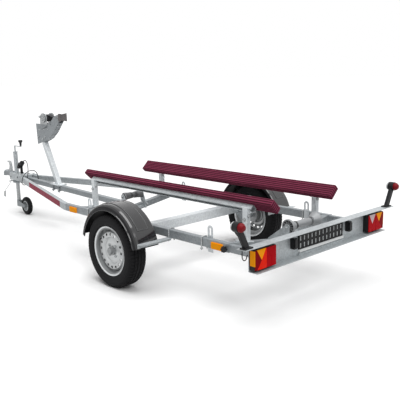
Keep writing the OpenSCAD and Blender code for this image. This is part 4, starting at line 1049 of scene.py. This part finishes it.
# %% Bolts of the frame
BOLTS = [
    # size, axis, places in millimetres from the axle's middle on the ground
    (12, (0, 0, 1), [(2668, 71, 458), (2735, 48, 458), (2850, 36, 458), (2960, 36, 458)]),
    (12, (0, 1, 0), [(2968, 55, 420), (-933, 390, 575), (808, 390, 575)]),
    (12, (-1, 0, 0), [(-953, 370, 598), (788, 370, 598), (765, 150, 364), (-945.1, 150, 364)]),
    (10, (0, -0.15, 0.99), [(-915, 335, 423.3), (-915, 405, 434), (790, 335, 423.3), (790, 405, 434)]),
    (9, (0, 1, 0), [(775, 116, 467), (-1103, 173.5, 508)]),
    (10, (0, 0, 1), [(2203, 20, 1040.6), (2108, 20, 1040.6), (1955, 38, 425), (2105, 38, 428.5)]),
]
# the winch's bracket: the place its bolts are measured from, then the bolts of its cheeks and its web
WINCH_HEAD = (2240.7, 841.5)
CHEEK_BOLTS = [(-10, 35), (80, 55), (-60, 60), (-328, 272)]
CHEEK_OUT = 29.3
WEB_BOLTS = [((-83, 34), (-0.333, 0, -0.944)), ((-183, 87.3), (-0.577, 0, -0.816)),
             ((-255, 142.6), (-0.684, 0, -0.729)), ((-300, 185), (-0.684, 0, -0.729))]
WEB_OUT = 16
ahead, up = WINCH_HEAD
BOLTS.append((11, (0, 1, 0), [(ahead + x, CHEEK_OUT, up + z) for x, z in CHEEK_BOLTS]))
BOLTS += [(9, axis, [(ahead + x, WEB_OUT, up + z)]) for (x, z), axis in WEB_BOLTS]
# radius and height, as shares of a bolt's size
WASHER = (1.15, 0.15)
HEAD = (0.92, 0.68)
CHAMFER = (0.80, 0.80)
TURN_PER_MM = 0.3


def turned(profile, segments):
    """A profile of (radius, along), from the foot up, turned about +Z and closed by flat ends."""
    corners = []
    for k in range(segments):
        angle = 2 * math.pi * k / segments
        corners += [(r * math.cos(angle), r * math.sin(angle), z) for r, z in profile]
    n = len(profile)
    faces = [[k * n for k in range(segments)][::-1], [k * n + n - 1 for k in range(segments)]]
    for k in range(segments):
        m = (k + 1) % segments
        faces += [[k * n + i, m * n + i, m * n + i + 1, k * n + i + 1] for i in range(n - 1)]
    return corners, faces


def facing(place, axis, spin=0.0):
    """A matrix that stands a shape's +Z along an axis at a place."""
    turn = Vector(axis).to_track_quat("Z", "Y").to_matrix().to_4x4()
    return Matrix.Translation(place) @ turn @ Matrix.Rotation(spin, 4, "Z")


def add_bolt(stock, size, place):
    """A hexagon head on its washer, standing on z = 0 of the place's matrix."""
    (washer_r, washer_h), *head = [(r * size, h * size) for r, h in (WASHER, HEAD, CHAMFER)]
    stock.add(turned([(washer_r, 0), (washer_r, washer_h)], 20), place)
    stock.add(turned([(head[0][0], washer_h), *head], 6), place)


fasteners = Stock()
for side in (1, -1):
    for size, (i, j, k), places in BOLTS:
        for x, y, z in places:
            stand = facing(from_axle(x, side * y, z), (i, side * j, k), TURN_PER_MM * x)
            add_bolt(fasteners, size * MM, stand)
print("bolts", len(fasteners.faces), "faces")

# %% [markdown]
# ## U-bolts
# Fittings are held to the rails by U-bolts: a rod bent round the rail, with a nut on each leg. A curve with
# a bevel would do as well, but a rod of plain rings goes into the same mesh as the bolts.

# %% U-bolts over the rails
U_STATIONS = (-708, 635, -375, 337)
U_SIZE = 9
U_CORNER = 9
U_RISE = 5
U_LEG = 24
NUT_LIFT = 14


def rod(points, diameter, sides=8):
    """A round rod along a line of points, with flat ends."""
    ahead = (points[1] - points[0]).normalized()
    side = ahead.orthogonal().normalized()
    corners = []
    for i, point in enumerate(points):
        course = (points[min(i + 1, len(points) - 1)] - points[max(i - 1, 0)]).normalized()
        side = ahead.rotation_difference(course) @ side
        ahead = course
        other = ahead.cross(side)
        for k in range(sides):
            angle = 2 * math.pi * k / sides
            corners.append(point + (side * math.cos(angle) + other * math.sin(angle)) * diameter / 2)
    faces = [list(range(sides))[::-1], list(range(len(corners) - sides, len(corners)))]
    for start in range(0, len(corners) - sides, sides):
        for k in range(sides):
            m = (k + 1) % sides
            faces.append([start + k, start + m, start + sides + m, start + sides + k])
    return corners, faces


def u_bolt(stock, ahead, sign):
    """A rod over a rail, from its outer face to its inner face, with a nut on each leg."""
    low, high = (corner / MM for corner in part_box("left_rail"))
    outer, inner = sign * (high.y + U_SIZE / 2), sign * (low.y - U_SIZE / 2)
    foot, bend = low.z - U_LEG, high.z + U_RISE - U_CORNER
    line = [(outer, foot)]
    for middle, start in ((outer - sign * U_CORNER, 0), (inner + sign * U_CORNER, 90)):
        for turn in range(start, start + 91, 30):
            angle = math.radians(turn)
            line.append((middle + sign * U_CORNER * math.cos(angle), bend + U_CORNER * math.sin(angle)))
    line.append((inner, foot))
    stock.add(rod([from_axle(ahead, y, z) for y, z in line], U_SIZE * MM))
    for y in (outer, inner):
        add_bolt(stock, U_SIZE * MM, facing(from_axle(ahead, y, foot + NUT_LIFT), (0, 0, -1)))


for side in (1, -1):
    for ahead in U_STATIONS:
        u_bolt(fasteners, ahead, side)
made = fasteners.piece("frame_fasteners", "frame", "zinc_bright", "galvanised")
print(made.name, len(made.data.polygons), "faces")

# %% [markdown]
# ## Clamps of the winch post
# The post's foot is clamped on the spine, so that the winch can be set to the length of a boat. Each clamp
# is two rods beside the spine, a flat strip under it and a nut on each rod.

# %% Post clamps
# places along the spine, and the height where the rods start
CLAMPS = [(1975, 418), (2085, 421)]
CLAMP_OUT = 31
CLAMP_ROD = 9
CLAMP_LENGTH = 72
CLAMP_NUT = 11
NUT_DROP = 56.5
STRIP_DROP = 55.5
STRIP_L, STRIP_W, STRIP_T = 26, 88, 6

post_clamps = Stock()
strip = rectangle(-STRIP_L / 2 * MM, STRIP_L / 2 * MM, -STRIP_W / 2 * MM, STRIP_W / 2 * MM)
for ahead, top in CLAMPS:
    for left in (CLAMP_OUT, -CLAMP_OUT):
        ends = [from_axle(ahead, left, z) for z in (top, top - CLAMP_LENGTH)]
        post_clamps.add(rod(ends, CLAMP_ROD * MM))
        add_bolt(post_clamps, CLAMP_NUT * MM, facing(from_axle(ahead, left, top - NUT_DROP), (0, 0, -1)))
    middle = Matrix.Translation(from_axle(ahead, 0, top - STRIP_DROP))
    post_clamps.add(prism(strip, 0, STRIP_T * MM), middle)
made = post_clamps.piece("post_clamps", "frame", "zinc_dull", "galvanised_dark")
print(made.name, len(made.data.polygons), "faces")

# %% [markdown]
# ## Wheel bolts and valves
# Four bolts hold each wheel on its hub, and a rubber valve stands in the rim. They turn with the wheel, so
# they ride on the wheel's body and not on the frame.

# %% Wheel bolts and valves
WHEEL_BOLT = 11
WHEEL_BOLTS = 4
WHEEL_BOLT_TURN = 0.4
BOLT_CIRCLE_R = 50
DISC_FACE = 34
VALVE_ANGLE = math.radians(28)
# millimetres from the wheel's axis, and out of its middle
VALVE_ROOT = (150, 22)
VALVE_TIP = (138, 54)
STEM_SHARE = 0.7
STEM_D = 11
CAP_D = 7


def wheel_fittings(side, sign):
    hub = spot[f"{side}_wheel_spin"]

    def on_wheel(radius, out, angle):
        return hub + Vector((radius * math.cos(angle), sign * out, radius * math.sin(angle))) * MM

    stock = Stock()
    for k in range(WHEEL_BOLTS):
        place = on_wheel(BOLT_CIRCLE_R, DISC_FACE, math.pi / WHEEL_BOLTS * (2 * k + 1))
        add_bolt(stock, WHEEL_BOLT * MM, facing(place, (0, sign, 0), WHEEL_BOLT_TURN))
    made = stock.piece(f"{side}_wheel_bolts", f"{side}_wheel", "zinc_bright", "wheel_silver")
    root, tip = on_wheel(*VALVE_ROOT, VALVE_ANGLE), on_wheel(*VALVE_TIP, VALVE_ANGLE)
    valve = Stock().add(rod([root, root.lerp(tip, STEM_SHARE)], STEM_D * MM, 12))
    valve.add(rod([root, tip], CAP_D * MM, 12))
    valve.piece(f"{side}_valve", f"{side}_wheel", "black_rubber", "tyre")
    print(made.name, len(made.data.polygons), "faces")


wheel_fittings("left", 1)
wheel_fittings("right", -1)

# %% [markdown]
# ## Beads on the fenders
# A thin plastic fender is stiffened by beads pressed round its raised panel and by a rolled outer lip. They
# are rods bent to arcs about the fender's own centre, half sunk in the sheet, because the delivered
# fender itself stays as it is. Their plastic is a lighter grey than the fender's, which paints a line of
# highlight along each bead.

# %% Fender beads
FENDER_BACK = 14
PANEL_TURN = 34
PANEL_SIDES = (690, 780)
BEAD_D = 4
BEAD_SUNK = 0.6
LIP_TURN = 15
LIP_DROP = 46
LIP_INSET = 1
LIP_D = 3.5


def fender_beads(side, sign):
    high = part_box("left_fender")[1] / MM
    axle_z = spot["left_wheel_spin"].z / MM
    panel_r = high.z - axle_z - BEAD_SUNK
    lip_r = high.z - axle_z - LIP_DROP

    def arc(radius, left, first, last, parts):
        turns = [math.radians(first + (last - first) * k / parts) for k in range(parts + 1)]
        return [from_axle(radius * math.cos(t) - FENDER_BACK, sign * left, axle_z + radius * math.sin(t))
                for t in turns]

    stock = Stock()
    for left in PANEL_SIDES:
        stock.add(rod(arc(panel_r, left, PANEL_TURN, 180 - PANEL_TURN, 40), BEAD_D * MM))
    for turn in (PANEL_TURN, 180 - PANEL_TURN):
        ends = [arc(panel_r, left, turn, turn, 1)[0] for left in PANEL_SIDES]
        stock.add(rod(ends, BEAD_D * MM))
    stock.add(rod(arc(lip_r, high.y - LIP_INSET, LIP_TURN, 180 - LIP_TURN, 60), LIP_D * MM))
    made = stock.piece(f"{side}_fender_beads", "frame", "fender_bead_painted_highlight", "fender_black")
    print(made.name, len(made.data.polygons), "faces")


fender_beads("left", 1)
fender_beads("right", -1)

# %% [markdown]
# ## Light and floor
# A studio shot of a pale object needs large soft lights, so that zinc shows broad highlights. The world is
# white to the camera and in reflections but weaker as a light, and the floor is pale with the trailer's own
# soft shadow. Suns with a wide angle serve as soft boxes, because they light the floor evenly out to the
# horizon.

# %% Studio
WORLD_FILL = 0.30
FLOOR_BOUNCE = 0.45
FLOOR_HALF = 90
WHITE = tone(1, 1, 1)


def sight(tree):
    """One for rays that come from the camera or off metal and glass, else zero."""
    kinds = ("Is Camera Ray", "Is Glossy Ray", "Is Transmission Ray")
    eye, gloss, glass = (Signal(tree).node("LightPath", out=kind) for kind in kinds)
    return (eye + gloss + glass).reckon("MINIMUM", 1.0)


floor_shader, floor_place = finish("studio_floor", Roughness=1.0, Specular_IOR_Level=0.0)
bounce = tone(FLOOR_BOUNCE, FLOOR_BOUNCE, FLOOR_BOUNCE)
feed(floor_shader, Base_Color=sight(floor_place.tree).mix(bounce, WHITE))
corners = [(x, y, 0) for x, y in rectangle(-FLOOR_HALF, FLOOR_HALF, -FLOOR_HALF, FLOOR_HALF)]
floor_mesh = bpy.data.meshes.new("floor")
floor_mesh.from_pydata(corners, [], [[0, 1, 2, 3]])
floor_mesh.materials.append(FINISHES["studio_floor"])
floor = bpy.data.objects.new("floor", floor_mesh)
scene.collection.objects.link(floor)
floor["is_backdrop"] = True

world = bpy.data.worlds.new("studio")
scene.world = world
world.use_nodes = True
sky = world.node_tree.nodes["Background"]
sky.inputs["Color"].default_value = WHITE
strength = sight(world.node_tree).between(WORLD_FILL, 1.0)
world.node_tree.links.new(strength.socket, sky.inputs["Strength"])


def softbox(name, toward, spread, power):
    light = bpy.data.lights.new(name, "SUN")
    light.angle = math.radians(spread)
    light.energy = power
    made = bpy.data.objects.new(name, light)
    made.rotation_euler = Vector(toward).to_track_quat("-Z", "Y").to_euler()
    scene.collection.objects.link(made)


softbox("overhead", (0.12, -0.06, -1.0), 50, 2.2)
softbox("key", (0.90, -0.40, -0.80), 30, 0.9)
scene.view_settings.view_transform = "Standard"
print("studio lit")

# %% [markdown]
# ## Sizes
# The dressed trailer should fill the same box as its solids.

# %% Sizes
low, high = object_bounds()
print("visual box", [round(v, 3) for v in (*low, *high)])
